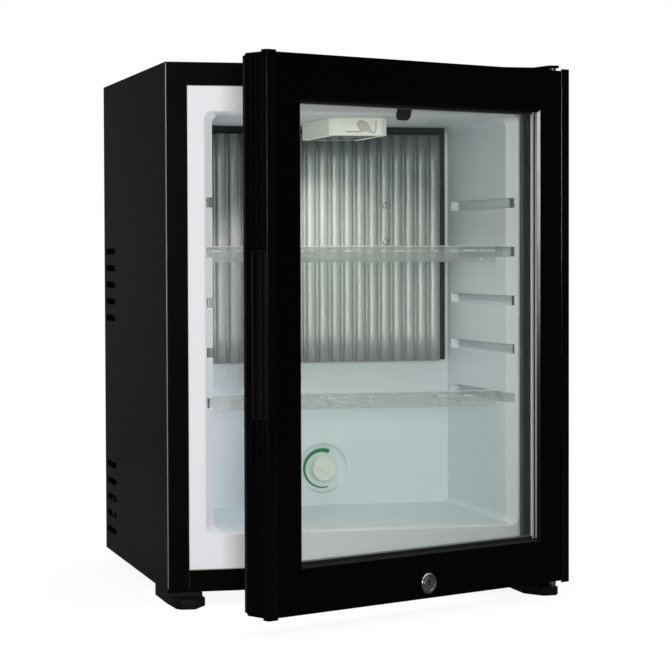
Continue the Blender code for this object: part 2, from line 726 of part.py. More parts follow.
def build_light_box(cabinet, lever_body, finishes):
    """Hang the light box under the ceiling, with its lens, lamp board and lever switch."""
    high = CAVITY_CEILING - GAP
    low = high - LIGHT_HEIGHT
    half = LIGHT_WIDTH / 2
    rear = LIGHT_FRONT + LIGHT_LENGTH
    outline = [
        (-half, rear), (-half, LIGHT_FRONT + LIGHT_CORNER), (-half + LIGHT_CORNER, LIGHT_FRONT),
        (half - LIGHT_CORNER, LIGHT_FRONT), (half, LIGHT_FRONT + LIGHT_CORNER), (half, rear),
    ]
    housing = cabinet.add("light_box", prism(outline, "Z", low, high), finishes["cream"])
    inner = half - LENS_MARGIN
    room_front = LIGHT_FRONT + LENS_MARGIN + LIGHT_CORNER
    room_depth = (room_front, rear - LENS_MARGIN)
    cabinet.cut(housing, box((-inner, inner), room_depth, (low - 0.002, high - LIGHT_WALL)))
    centre = (LEVER_OFFSET_X, LIGHT_FRONT, (low + high) / 2)
    pivot_hole = rod(LEVER_RADIUS * 0.4 + GAP, "Y", centre, -0.002, LEVER_PIVOT_LENGTH + GAP, 12)
    cabinet.cut(housing, pivot_hole)
    lens_x = inner - GAP
    lens_y = (room_front + GAP, rear - LENS_MARGIN - GAP)
    cabinet.add("light_lens", box((-lens_x, lens_x), lens_y, (low, low + LENS_THICKNESS)), finishes["clear"])
    board_top = high - LIGHT_WALL - GAP
    board = box((-lens_x, lens_x), lens_y, (board_top - BOARD_THICKNESS, board_top))
    board_node = cabinet.add("lamp_board", board, finishes["board"])
    lamps = []
    for number in (-1, 0, 1):
        place = (lens_y[0] + lens_y[1]) / 2 + number * LIGHT_LENGTH / 4
        lamp_low = board_top - BOARD_THICKNESS - LAMP_HEIGHT
        lamp_y = (place - LAMP_SIZE / 2, place + LAMP_SIZE / 2)
        lamp_z = (lamp_low, board_top - BOARD_THICKNESS / 2)
        lamps.append(box((-LAMP_SIZE / 2, LAMP_SIZE / 2), lamp_y, lamp_z))
    cabinet.cut(board_node, join(*lamps), "UNION")

    hub_back = -GAP
    hub = turned(
        [(0, hub_back - LEVER_THICKNESS), (LEVER_RADIUS * 0.8, hub_back - LEVER_THICKNESS),
         (LEVER_RADIUS, hub_back - LEVER_THICKNESS * 0.7), (LEVER_RADIUS, hub_back),
         (LEVER_RADIUS * 0.4, hub_back), (LEVER_RADIUS * 0.4, LEVER_PIVOT_LENGTH), (0, LEVER_PIVOT_LENGTH)],
        "Y", centre, 20)
    lever = lever_body.add("light_switch_lever", hub, finishes["cream"])
    reach = Vector((math.cos(LEVER_DROOP), 0, -math.sin(LEVER_DROOP)))
    across = Vector((math.sin(LEVER_DROOP), 0, math.cos(LEVER_DROOP)))
    middle = Vector(centre)
    tip = middle + reach * LEVER_LENGTH
    corners = [
        middle + across * LEVER_RADIUS * 0.75, middle - across * LEVER_RADIUS * 0.75,
        tip - across * LEVER_RADIUS * 0.25, tip + across * LEVER_RADIUS * 0.25,
    ]
    front = LIGHT_FRONT + hub_back
    arm_front = front - LEVER_THICKNESS * 0.65
    arm = prism([(corner.x, corner.z) for corner in corners], "Y", arm_front, front - 0.0002)
    lever_body.cut(lever, arm, "UNION")


def build_thermostat(cabinet, dial_body, finishes):
    """Set the thermostat into the foam with its shaft, knob and the scale round it."""
    floor = CAVITY_DEPTH + DISH_DEPTH
    centre = (DIAL_X, floor, DIAL_LEVEL)
    seat = LINER_WALL + GAP
    case = thermostat_opening(0, (floor + seat, FOAM_BACK + THERMOSTAT_REACH))
    body = cabinet.add("thermostat", case, finishes["black"])
    cabinet.cut(body, rod(SHAFT_RADIUS + GAP, "Y", centre, -0.001, seat + SHAFT_SOCKET, 16))

    knob_back = -GAP
    face = knob_back - KNOB_HEIGHT
    profile = [
        (0, face), (KNOB_RADIUS * 0.80, face), (KNOB_RADIUS * 0.88, face + 0.0015),
        (KNOB_RADIUS * 0.94, knob_back - KNOB_SKIRT), (KNOB_RADIUS, knob_back - KNOB_SKIRT * 0.8),
        (KNOB_RADIUS, knob_back),
        (0, knob_back),
    ]
    knob = dial_body.add("thermostat_knob", turned(profile, "Y", centre, 32), finishes["cream"])
    reach = 2 * KNOB_RADIUS
    facet = box((-reach, reach), (-KNOB_HEIGHT, 0.0), (-reach, -KNOB_RADIUS * 0.2))
    tilt = Matrix.Rotation(KNOB_FACET_TURN, 4, "Y") @ Matrix.Rotation(-KNOB_FACET_TILT, 4, "X")
    place = Matrix.Translation((DIAL_X, floor + face + 0.0016, DIAL_LEVEL))
    bmesh.ops.transform(facet, matrix=place @ tilt, verts=facet.verts)
    dial_body.cut(knob, facet)
    bore_end = knob_back - KNOB_HEIGHT * 0.6
    dial_body.cut(knob, rod(SHAFT_RADIUS + GAP, "Y", centre, bore_end, 0.001, 16))
    shaft = rod(SHAFT_RADIUS, "Y", centre, bore_end + GAP, seat + SHAFT_SOCKET - GAP, 16)
    dial_body.add("thermostat_shaft", shaft, finishes["steel"])

    outer = []
    inner = []
    steps = 28
    for step in range(steps + 1):
        share = step / steps
        turn = SCALE_START + SCALE_SWEEP * share
        thin = SCALE_RADIUS - SCALE_WIDE * (1 - share) - SCALE_NARROW * share
        outer.append((DIAL_X + SCALE_RADIUS * math.cos(turn), DIAL_LEVEL + SCALE_RADIUS * math.sin(turn)))
        inner.append((DIAL_X + thin * math.cos(turn), DIAL_LEVEL + thin * math.sin(turn)))
    ring = prism(outer + inner[::-1], "Y", floor - GAP - SCALE_THICKNESS, floor - GAP)
    cabinet.add("dial_scale", ring, finishes["green"])


def build_shelf(body, name, groove, clear):
    """Mould one clear shelf: a plate whose sides run in the grooves, a front lip and ribs below."""
    base = groove_centre(groove) - GROOVE_HEIGHT / 2
    low = base + GAP
    rail = WALL_HALF + GROOVE_DEPTH - 2 * GAP
    plate_rear = PLATE_BACK - PLATE_SHEET - RIB_DEPTH - SHELF_REAR_GAP
    shelf = body.add(name, box((-rail, rail), (SHELF_FRONT, plate_rear), (low, low + SHELF_PLATE)), clear)
    side = WALL_HALF - 3 * GAP
    lip = box(
        (-side, side), (SHELF_FRONT, SHELF_FRONT + SHELF_LIP_THICKNESS),
        (base - SHELF_LIP_DOWN, base + GROOVE_HEIGHT + SHELF_LIP_UP))
    body.cut(shelf, lip, "UNION")
    extras = []
    for side_sign in (-1, 1):
        inner = WALL_HALF + GAP
        rail_x = (side_sign * inner, side_sign * rail)
        extras.append(box(rail_x, (SHELF_FRONT, plate_rear), (low, low + SHELF_RAIL)))
    spacing = 2 * side / SHELF_RIBS
    for number in range(1, SHELF_RIBS):
        x = -side + number * spacing
        rib_x = (x - SHELF_RIB_THICKNESS / 2, x + SHELF_RIB_THICKNESS / 2)
        rib_y = (SHELF_FRONT + SHELF_LIP_THICKNESS / 2, plate_rear - SHELF_LIP_THICKNESS)
        extras.append(box(rib_x, rib_y, (low - SHELF_RIB_DROP, low + SHELF_PLATE / 2)))
    body.cut(shelf, join(*extras), "UNION")


def foot_outline(side):
    """Return the plan of a front foot, for the left (-1) or the right (1)."""
    outer = HALF - FOOT_SIDE_INSET
    points = [
        (outer, FOOT_BACK), (outer, 0.009), (outer - 0.002, -FOOT_FRONT + 0.007),
        (outer - 0.006, -FOOT_FRONT),
        (outer - FOOT_WIDTH + FOOT_CHAMFER, -FOOT_FRONT - 0.001), (outer - FOOT_WIDTH, -FOOT_FRONT + 0.022),
        (outer - FOOT_WIDTH, FOOT_BACK),
    ]
    return [(side * x, y) for x, y in points]


def build_feet(cabinet, rubber, plastic):
    """Stand the cabinet on two hinge feet in front and two round feet behind."""
    for side, name in ((-1, "front_foot_left"), (1, "front_foot_right")):
        foot = cabinet.add(name, prism(foot_outline(side), "Z", 0.0, FOOT_HEIGHT - GAP), plastic)
        toe_cut = box(
            (side * (HALF - FOOT_WIDTH - 0.01), side * (HALF + 0.01)), (-0.06, -GAP * 2),
            (FOOT_HEIGHT - TOE_DROP, FOOT_HEIGHT + 0.01))
        cabinet.cut(foot, toe_cut)
        centre = (side * HINGE_X, -HINGE_FORWARD, 0)
        cabinet.cut(foot, rod(PIN_RADIUS + GAP, "Z", centre, FOOT_SOCKET_FLOOR, FOOT_HEIGHT + 0.01, 16))
    for side, name in ((-1, "rear_foot_left"), (1, "rear_foot_right")):
        centre = (side * (HALF - REAR_FOOT_INSET), CABINET_DEPTH - REAR_FOOT_INSET, 0)
        top = FOOT_HEIGHT - GAP
        profile = [
            (0, 0), (REAR_FOOT_RADIUS * 0.8, 0), (REAR_FOOT_RADIUS, 0.003),
            (REAR_FOOT_RADIUS * 0.9, top), (0, top),
        ]
        cabinet.add(name, turned(profile, "Z", centre), rubber, smooth=True)


def build_hinges(cabinet, door, finishes):
    """Pin the door to the right foot below and to a bracket above."""
    toe = FOOT_HEIGHT - TOE_DROP
    axis = (HINGE_X, -HINGE_FORWARD, 0)
    pin = turned([
        (0, FOOT_SOCKET_FLOOR + GAP), (PIN_RADIUS, FOOT_SOCKET_FLOOR + GAP), (PIN_RADIUS, toe + GAP),
        (PIN_COLLAR_RADIUS, toe + GAP), (PIN_COLLAR_RADIUS, DOOR_LOW - GAP), (PIN_RADIUS, DOOR_LOW - GAP),
        (PIN_RADIUS, DOOR_LOW + PIN_INSERT), (0, DOOR_LOW + PIN_INSERT)], "Z", axis, 16)
    cabinet.add("lower_hinge_pin", pin, finishes["chrome"], smooth=True)

    plate_low = TOP_OF_CABINET - BRACKET_THICKNESS
    left = HALF - BRACKET_WIDTH
    right = HALF - BRACKET_SIDE_INSET
    back = -GAP
    leg_front = -GAP - BRACKET_LEG_SHEET
    outline = [
        (left, back), (right, back), (right, -BRACKET_FRONT + 0.004), (right - 0.003, -BRACKET_FRONT),
        (HINGE_X - BRACKET_NOSE, -BRACKET_FRONT), (left, leg_front),
    ]
    plate = prism(outline, "Z", plate_low, TOP_OF_CABINET)
    bracket = cabinet.add("upper_hinge_bracket", plate, finishes["black_steel"])
    leg = box((left, right), (leg_front, back), (TOP_OF_CABINET - BRACKET_LEG, plate_low + 0.0005))
    cabinet.cut(bracket, leg, "UNION")
    cabinet.cut(bracket, rod(PIN_RADIUS + GAP, "Z", axis, plate_low - 0.001, TOP_OF_CABINET + 0.001, 16))
    heads = []
    for x, z in bracket_screw_places():
        profile = [(0, -BRACKET_SCREW_HEAD), (BRACKET_SCREW_RADIUS * 0.8, -BRACKET_SCREW_HEAD)]
        sunk = BRACKET_LEG_SHEET / 2
        profile += [(BRACKET_SCREW_RADIUS, 0.0), (BRACKET_SCREW_RADIUS, sunk), (0, sunk)]
        heads.append(turned(profile, "Y", (x, leg_front, z), 12))
    cabinet.cut(bracket, join(*heads), "UNION")
    upper_pin = turned([
        (0, DOOR_HIGH - PIN_INSERT), (PIN_RADIUS, DOOR_HIGH - PIN_INSERT), (PIN_RADIUS, DOOR_HIGH + GAP),
        (PIN_COLLAR_RADIUS, DOOR_HIGH + GAP), (PIN_COLLAR_RADIUS, plate_low - GAP),
        (PIN_RADIUS, plate_low - GAP),
        (PIN_RADIUS, TOP_OF_CABINET), (0, TOP_OF_CABINET)], "Z", axis, 16)
    cabinet.add("upper_hinge_pin", upper_pin, finishes["chrome"], smooth=True)

    for name, low, high in (
        ("lower_hinge_bushing", DOOR_LOW, DOOR_LOW + BUSHING_LENGTH),
        ("upper_hinge_bushing", DOOR_HIGH - BUSHING_LENGTH, DOOR_HIGH),
    ):
        bushing = door.add(name, rod(BUSHING_RADIUS, "Z", axis, low, high, 16), finishes["nylon"])
        bore = (low - 0.001, low + PIN_INSERT + 0.001)
        if low > BUSHING_LENGTH + DOOR_LOW:
            bore = (high - PIN_INSERT - 0.001, high + 0.001)
        door.cut(bushing, rod(PIN_RADIUS + GAP, "Z", axis, *bore, 16))


def door_corners(section):
    """Return where one point of a frame section lies at the four corners of the door.

    A point is (0 for the outer edge or 1 for the window, distance in from there on a stile, y). On
    the rails the distance grows with their width, so that the points stay on the mitres."""
    line, inward, y = section
    share = line + inward / STILE_WIDTH
    left = DOOR_LEFT + share * STILE_WIDTH
    right = HALF - share * STILE_WIDTH
    low = DOOR_LOW + share * BOTTOM_RAIL_WIDTH
    high = DOOR_HIGH - share * TOP_RAIL_WIDTH
    places = ((left, low), (right, low), (right, high), (left, high))
    return [Vector((x, y, z)) for x, z in places]


def frame_bar(sections, corner):
    """Return the bar of the frame between one corner and the next, mitred at both ends."""
    builder = bmesh.new()
    count = len(sections)
    first = []
    last = []
    for section in sections:
        corners = door_corners(section)
        start = corners[corner]
        end = corners[(corner + 1) % 4]
        along = (end - start).normalized() * GAP
        first.append(builder.verts.new(start + along))
        last.append(builder.verts.new(end - along))
    for index in range(count):
        after = (index + 1) % count
        builder.faces.new((first[index], first[after], last[after], last[index]))
    builder.faces.new(first)
    builder.faces.new(last[::-1])
    bmesh.ops.recalc_face_normals(builder, faces=builder.faces)
    return builder


def frame_ring(sections):
    """Return a closed ring that runs round the door with the given section."""
    builder = bmesh.new()
    loops = [[], [], [], []]
    for section in sections:
        for corner, place in enumerate(door_corners(section)):
            loops[corner].append(builder.verts.new(place))
    count = len(sections)
    for corner in range(4):
        one = loops[corner]
        two = loops[(corner + 1) % 4]
        for index in range(count):
            after = (index + 1) % count
            builder.faces.new((one[index], one[after], two[after], two[index]))
    bmesh.ops.recalc_face_normals(builder, faces=builder.faces)
    return builder


def pane_box(front):
    """Return a pane of the insulated glass with its front face on the given plane."""
    low, _, high, _ = door_corners((1, -REBATE_LIP + GAP * 2, front))
    return box((low.x, high.x), (front, front + PANE), (low.z, high.z))


def grip_box(side, grow, depth):
    """Return the room of a finger grip in the left (-1) or right (1) edge of the door."""
    edge = DOOR_LEFT if side < 0 else HALF
    middle = (DOOR_LOW + DOOR_HIGH) / 2 + GRIP_RISE
    x_range = (edge + side * 0.01, edge - side * (depth + grow))
    y_range = (-GRIP_FRONT - grow, -GRIP_BACK + grow)
    return box(x_range, y_range, (middle - GRIP_LENGTH / 2 - grow, middle + GRIP_LENGTH / 2 + grow))


def build_door_frame(door, finishes):
    """Mitre the four bars of the door, and seat the panes, spacer, inner frame and gasket in them."""
    front = -DOOR_FRONT
    back = -DOOR_BACK
    lip_back = front + FRAME_LIP_THICKNESS
    section = [(0, 0, front), (1, -FRAME_BEVEL, front), (1, 0, front + FRAME_BEVEL), (1, 0, lip_back)]
    section += [(1, -REBATE_LIP, lip_back), (1, -REBATE_LIP, back), (0, 0, back)]
    flute_pitch = (DOOR_FRONT - DOOR_BACK) / (FLUTE_COUNT + 1)
    for number in range(1, FLUTE_COUNT + 1):
        middle = back - number * flute_pitch
        section += [(0, 0, middle + FLUTE_DEPTH), (0, FLUTE_DEPTH, middle), (0, 0, middle - FLUTE_DEPTH)]
    bars = {}
    names = ("door_bottom_rail", "door_hinge_stile", "door_top_rail", "door_free_stile")
    for corner, name in enumerate(names):
        bars[name] = door.add(name, frame_bar(section, corner), finishes["gloss_black"])
    axis = (HINGE_X, -HINGE_FORWARD, 0)
    hole = BUSHING_RADIUS + GAP
    for name, low, high in (
        ("door_bottom_rail", DOOR_LOW - 0.01, DOOR_LOW + BUSHING_LENGTH + GAP),
        ("door_top_rail", DOOR_HIGH - BUSHING_LENGTH - GAP, DOOR_HIGH + 0.01),
    ):
        door.cut(bars[name], rod(hole, "Z", axis, low, high, 16))
        door.cut(bars["door_hinge_stile"], rod(hole, "Z", axis, low, high, 16))
    lock = (LOCK_X, 0, LOCK_Z)
    barrel_bore = rod(LOCK_BARREL_RADIUS + GAP, "Y", lock, front - 0.01, back + 0.01, 20)
    door.cut(bars["door_bottom_rail"], barrel_bore)
    for side, name in ((-1, "door_free_stile"), (1, "door_hinge_stile")):
        door.cut(bars[name], grip_box(side, GAP, GRIP_DEPTH))

    outer_front = lip_back + GAP
    spacer_front = outer_front + PANE + GAP
    inner_front = spacer_front + PANE_SPACE - GAP
    door.add("outer_pane", pane_box(outer_front), finishes["glass"])
    door.add("inner_pane", pane_box(inner_front), finishes["glass"])
    spacer_back = inner_front - GAP
    edge = -REBATE_LIP + SPACER_INSET
    spacer = [(1, edge, spacer_front), (1, edge + SPACER_WIDTH, spacer_front)]
    spacer += [(1, edge + SPACER_WIDTH, spacer_back), (1, edge, spacer_back)]
    door.add("glass_spacer", frame_ring(spacer), finishes["aluminium"])

    frame_front = inner_front + PANE + GAP
    flange_front = back + GAP
    flange_back = flange_front + INNER_FRAME_FLANGE
    inner_edge = -REBATE_LIP + GAP
    inner = [(0, INNER_FRAME_INSET, flange_front), (0, INNER_FRAME_INSET, flange_back), (1, 0, flange_back)]
    inner += [(1, 0, frame_front), (1, inner_edge, frame_front), (1, inner_edge, flange_front)]
    inner_frame = door.add("inner_door_frame", frame_ring(inner), finishes["black"])
    stem = rod(LOCK_STEM_RADIUS + GAP, "Y", lock, flange_front - 0.002, flange_back + 0.002, 16)
    door.cut(inner_frame, stem)

    seal = flange_back + GAP
    top = seal + GASKET_HEIGHT
    inset = GASKET_INSET
    lip = GASKET_WIDTH / 4
    fold = top - 0.001
    gasket = [(0, inset, seal), (0, inset, fold), (0, inset + lip, top), (0, inset + 2 * lip, fold)]
    gasket += [(0, inset + 3 * lip, top), (0, inset + 4 * lip, fold), (0, inset + 4 * lip, seal)]
    door.add("door_gasket", frame_ring(gasket), finishes["rubber"])
    return frame_front


def build_door_trim(door, finishes):
    """Clip the corner trims over both front edges and set the finger grips into both sides."""
    wall = TRIM_PROUD - GAP
    for side, name in ((-1, "free"), (1, "hinge")):
        edge = DOOR_LEFT if side < 0 else HALF
        out = edge + side * TRIM_PROUD
        inside = edge + side * GAP
        face = -DOOR_FRONT - TRIM_PROUD
        back = -DOOR_FRONT - GAP
        side_end = -DOOR_FRONT - TRIM_PROUD + TRIM_SIDE
        front_end = edge - side * (TRIM_FRONT - TRIM_PROUD)
        round_off = wall * 0.6
        outline = [
            (out, side_end), (out, face + round_off), (out - side * round_off, face), (front_end, face),
            (front_end, back), (inside, back), (inside, side_end),
        ]
        trim = prism(outline, "Z", DOOR_LOW - TRIM_OVERRUN, DOOR_HIGH + TRIM_OVERRUN)
        strip = door.add(f"{name}_edge_trim", trim, finishes["gloss_black"])
        door.cut(strip, grip_box(side, GRIP_WALL, GRIP_DEPTH))
        grip = door.add(f"{name}_side_grip", grip_box(side, 0, GRIP_DEPTH - GAP), finishes["black"])
        outside = box(
            (edge + side * GRIP_LIP, edge + side * 0.02), (-DOOR_FRONT - 0.01, 0.0),
            (FLOOR_OF_CABINET, DOOR_HIGH))
        door.cut(grip, outside)
        door.cut(grip, grip_box(side, -GRIP_WALL, GRIP_DEPTH))


def build_lock(door, lock, finishes):
    """Fit the lock: a ring and a barrel in the bottom rail, and a tongue on the barrel's stem."""
    centre = (LOCK_X, 0, LOCK_Z)
    front = -DOOR_FRONT
    bore = LOCK_BARREL_RADIUS + GAP
    ring_face = front - GAP - LOCK_RING_PROUD
    ring = door.add("lock_ring", turned(
        [(0, ring_face), (LOCK_RING_RADIUS * 0.9, ring_face),
         (LOCK_RING_RADIUS, ring_face + LOCK_RING_PROUD / 2), (LOCK_RING_RADIUS, front - GAP),
         (0, front - GAP)],
        "Y", centre, 28), finishes["chrome"])
    door.cut(ring, rod(bore, "Y", centre, front - 0.01, front + 0.01, 28))
    stem_end = SHEET + TONGUE_CLEARANCE - GAP
    barrel_face = front - GAP - LOCK_BARREL_PROUD
    edge = LOCK_BARREL_PROUD / 2
    barrel_back = -DOOR_BACK - LOCK_BARREL_BACK
    barrel = lock.add("lock_barrel", turned(
        [(0, barrel_face), (LOCK_BARREL_RADIUS - edge, barrel_face), (LOCK_BARREL_RADIUS, barrel_face + edge),
         (LOCK_BARREL_RADIUS, barrel_back), (LOCK_STEM_RADIUS, barrel_back),
         (LOCK_STEM_RADIUS, stem_end), (0, stem_end)], "Y", centre, 28), finishes["chrome"])
    keyway = box(
        (LOCK_X - KEYWAY_WIDTH / 2, LOCK_X + KEYWAY_WIDTH / 2),
        (barrel_face - 0.01, barrel_face + KEYWAY_DEPTH),
        (LOCK_Z - KEYWAY_HEIGHT / 2, LOCK_Z + KEYWAY_HEIGHT / 2))
    lock.cut(barrel, keyway)
    outline = []
    for step in range(9):
        angle = math.radians(90 + 180 * step / 8)
        across = TONGUE_HALF_WIDTH * math.cos(angle)
        outline.append((LOCK_X + across, LOCK_Z + TONGUE_HALF_WIDTH * math.sin(angle)))
    tip = LOCK_X + TONGUE_LENGTH
    outline += [
        (tip - 0.001, LOCK_Z - TONGUE_HALF_WIDTH), (tip, LOCK_Z - TONGUE_HALF_WIDTH + 0.001),
        (tip, LOCK_Z + TONGUE_HALF_WIDTH - 0.001), (tip - 0.001, LOCK_Z + TONGUE_HALF_WIDTH),
    ]
    start = stem_end + GAP
    lock.add("lock_tongue", prism(outline, "Y", start, start + TONGUE_THICKNESS), finishes["steel"])


def build_light_magnet(door, finishes, frame_front):
    """Hang the magnet holder that works the light's contact from the door's inner frame."""
    top = DOOR_HIGH - TOP_RAIL_WIDTH - GAP
    low = top + GAP - STRIKER_DROP
    front = frame_front + GAP
    middle = (DOOR_LEFT + HALF) / 2 + STRIKER_OFFSET_X
    x_range = (middle - STRIKER_WIDTH / 2, middle + STRIKER_WIDTH / 2)
    rounded = rounded_rectangle(x_range, (low, top), STRIKER_CORNER, 4)
    outline = [(x_range[1], top), (x_range[0], top)] + rounded[len(rounded) // 2:]
    holder = prism(outline, "Y", front, front + STRIKER_DEPTH)
    for vertex in holder.verts:
        vertex.co.y += (top - vertex.co.z) * STRIKER_LEAN
    door.add("light_magnet_holder", holder, finishes["black"])


def build_fins(cabinet, start, end, aluminium):
    """Press the square fins, with their collars, on the sloping run of the condenser."""
    along = end - start
    middle = (start + end) / 2
    slope = Matrix.Rotation(-math.atan2(along.z, along.x), 4, "Y")
    place = Matrix.Translation(middle) @ slope
    half = FIN_COUNT * FIN_PITCH / 2

    def set_in_place(builder):
        bmesh.ops.transform(builder, matrix=place, verts=builder.verts)
        return builder

    centre = (0, 0, 0)
    collar = rod(TUBE_RADIUS + FIN_COLLAR, "X", centre, -half, half, TUBE_SIDES)
    pack = cabinet.add("condenser_fins", set_in_place(collar), aluminium)
    plates = []
    for number in range(FIN_COUNT):
        x = (number - (FIN_COUNT - 1) / 2) * FIN_PITCH
        size = (-FIN_HALF_SIZE, FIN_HALF_SIZE)
        plates.append(box((x - FIN_THICKNESS / 2, x + FIN_THICKNESS / 2), size, size))
    cabinet.cut(pack, set_in_place(join(*plates)), "UNION")
    bore = rod(TUBE_RADIUS + GAP, "X", centre, -half - 0.01, half + 0.01, TUBE_SIDES * 2)
    cabinet.cut(pack, set_in_place(bore))


def brace_outline(plane):
    """Return the plan of a sheet brace whose ends are folded along the side panels."""
    end = INNER_HALF - GAP
    return [
        (-end, plane), (end, plane), (end, plane + BRACE_FOLD), (end - BRACE_SHEET, plane + BRACE_FOLD),
        (end - BRACE_SHEET, plane + BRACE_SHEET), (-end + BRACE_SHEET, plane + BRACE_SHEET),
        (-end + BRACE_SHEET, plane + BRACE_FOLD), (-end, plane + BRACE_FOLD),
    ]


def build_cooling_unit(cabinet, finishes):
    """Pipe the absorption unit: boiler, condenser, evaporator, absorber coil and tank."""
    pipe = finishes["unit_paint"]
    back_plane = UNIT_Y + TANK_RADIUS
    boiler_y = back_plane - BOILER_RADIUS
    boiler_axis = (BOILER_X, boiler_y, 0)
    boiler = cabinet.add("boiler_sleeve", rod(BOILER_RADIUS, "Z", boiler_axis, BOILER_BOTTOM, BOILER_TOP, 28),
                         finishes["galvanised"], smooth=True)
    well_top = BOILER_BOTTOM + HEATER_DEPTH
    cabinet.cut(boiler, rod(HEATER_RADIUS + GAP, "Z", boiler_axis, BOILER_BOTTOM - 0.01, well_top, 12))
    heater = rod(HEATER_RADIUS, "Z", boiler_axis, BOILER_BOTTOM - HEATER_PROUD, well_top - GAP, 12)
    cabinet.add("heater_cartridge", heater, finishes["steel"], smooth=True)

    block_back = FOAM_BACK + BLOCK_REACH + GAP
    cold_y = block_back + TUBE_RADIUS
    cold_left = -BLOCK_WIDTH / 2 - 0.002
    cold_right = BLOCK_WIDTH * 0.33
    level = TOP_OF_CABINET - CONDENSER_DROP
    high_end = (BOILER_X, UNIT_Y, level + CONDENSER_FALL / 2)
    low_end = (-CONDENSER_REACH, UNIT_Y, level - CONDENSER_FALL / 2)
    condenser = tube([
        (BOILER_X, boiler_y, BOILER_TOP + GAP), (BOILER_X, boiler_y, BOILER_TOP + 0.03),
        (BOILER_X, UNIT_Y, BOILER_TOP + 0.06), high_end,
        low_end, (-CONDENSER_REACH, UNIT_Y, BLOCK_Z + 0.045),
        (-CONDENSER_REACH, cold_y, BLOCK_Z), (cold_left, cold_y, BLOCK_Z)], TUBE_RADIUS, 0.022)
    cabinet.add("condenser_pipe", condenser, pipe, smooth=True)
    build_fins(cabinet, Vector(low_end), Vector(high_end), finishes["aluminium"])
    evaporator = tube(
        [(cold_left + GAP, cold_y, BLOCK_Z), (cold_right, cold_y, BLOCK_Z)], TUBE_RADIUS, 0.01)
    cabinet.add("evaporator_pipe", evaporator, pipe, smooth=True)

    runs = []
    left = COIL_CENTRE_X - COIL_HALF_WIDTH
    right = COIL_CENTRE_X + COIL_HALF_WIDTH
    tank_top = TANK_HEIGHT + TANK_RADIUS
    runs.append((left, UNIT_Y, tank_top + GAP))
    for number in range(COIL_RUNS):
        low = COIL_BOTTOM + number * COIL_PITCH
        ends = (left, right) if number % 2 == 0 else (right, left)
        runs.append((ends[0], UNIT_Y, low))
        runs.append((ends[1], UNIT_Y, low + COIL_SLOPE))
    coil_end = Vector(runs[-1])
    coil = tube(runs, TUBE_RADIUS, (COIL_PITCH - COIL_SLOPE) / 2, steps=4)
    cabinet.add("absorber_coil", coil, pipe, smooth=True)
    turn_x = cold_right + 0.018
    rise = (coil_end - Vector(runs[-2])).normalized()
    joint = coil_end + rise * GAP
    corner = coil_end + rise * (turn_x - coil_end.x)
    gas = tube([
        (cold_right + GAP, cold_y, BLOCK_Z), (turn_x, cold_y, BLOCK_Z), (turn_x, cold_y, BLOCK_Z - 0.07),
        corner, joint], TUBE_RADIUS, 0.016)
    cabinet.add("gas_return_pipe", gas, pipe, smooth=True)

    tank_right = TANK_CENTRE_X + TANK_LENGTH / 2
    tank_left = TANK_CENTRE_X - TANK_LENGTH / 2
    dome = TANK_RADIUS * 0.35
    profile = [(0, tank_left), (TANK_RADIUS * 0.75, tank_left + dome * 0.3), (TANK_RADIUS, tank_left + dome)]
    profile += [(TANK_RADIUS, tank_right - dome), (TANK_RADIUS * 0.75, tank_right - dome * 0.3)]
    profile.append((0, tank_right))
    tank = turned(profile, "X", (0, UNIT_Y, TANK_HEIGHT), 24)
    cabinet.add("receiver_tank", tank, pipe, smooth=True)
    exchanger = tube([
        (tank_right + GAP, UNIT_Y, TANK_HEIGHT), (BOILER_X - BOILER_RADIUS - GAP, UNIT_Y, TANK_HEIGHT)],
        TUBE_RADIUS * 0.8, 0.01)
    cabinet.add("heat_exchanger_pipe", exchanger, pipe, smooth=True)

    for name, centre in (("upper_unit_brace", level), ("lower_unit_brace", TANK_HEIGHT)):
        outline = brace_outline(back_plane + GAP)
        brace = prism(outline, "Z", centre - BRACE_HEIGHT / 2, centre + BRACE_HEIGHT / 2)
        cabinet.add(name, brace, finishes["black_steel"])


def build_controls(cabinet, finishes):
    """Fix the control box to the rear panel, with the inlet that a cord would enter."""
    wall_y = FOAM_BACK + SHEET + 2 * GAP
    x_range = (-INNER_HALF + CONTROL_INSET, -INNER_HALF + CONTROL_INSET + CONTROL_WIDTH)
    low = BLOCK_Z - CONTROL_DROP
    depth = (wall_y, wall_y + CONTROL_DEPTH)
    case = cabinet.add("control_box", box(x_range, depth, (low, low + CONTROL_HEIGHT)), finishes["black"])
    cabinet.round_edges(case, 0.002)
    inlet_x = (x_range[0] + x_range[1]) / 2
    inlet_axis = (inlet_x, wall_y + CONTROL_DEPTH / 2, 0)
    inlet_low = low - INLET_LENGTH
    inlet = turned([
        (0, low - GAP), (INLET_FLANGE_RADIUS, low - GAP), (INLET_FLANGE_RADIUS, low - INLET_LENGTH * 0.2),
        (INLET_NECK_RADIUS + 0.001, low - INLET_LENGTH * 0.27), (INLET_NECK_RADIUS, inlet_low),
        (0, inlet_low)],
        "Z", inlet_axis, 20)
    inlet_node = cabinet.add("mains_inlet", inlet, finishes["black"])
    bore_top = low - INLET_LENGTH * 0.27
    cabinet.cut(inlet_node, rod(INLET_BORE_RADIUS, "Z", inlet_axis, inlet_low - 0.005, bore_top, 16))


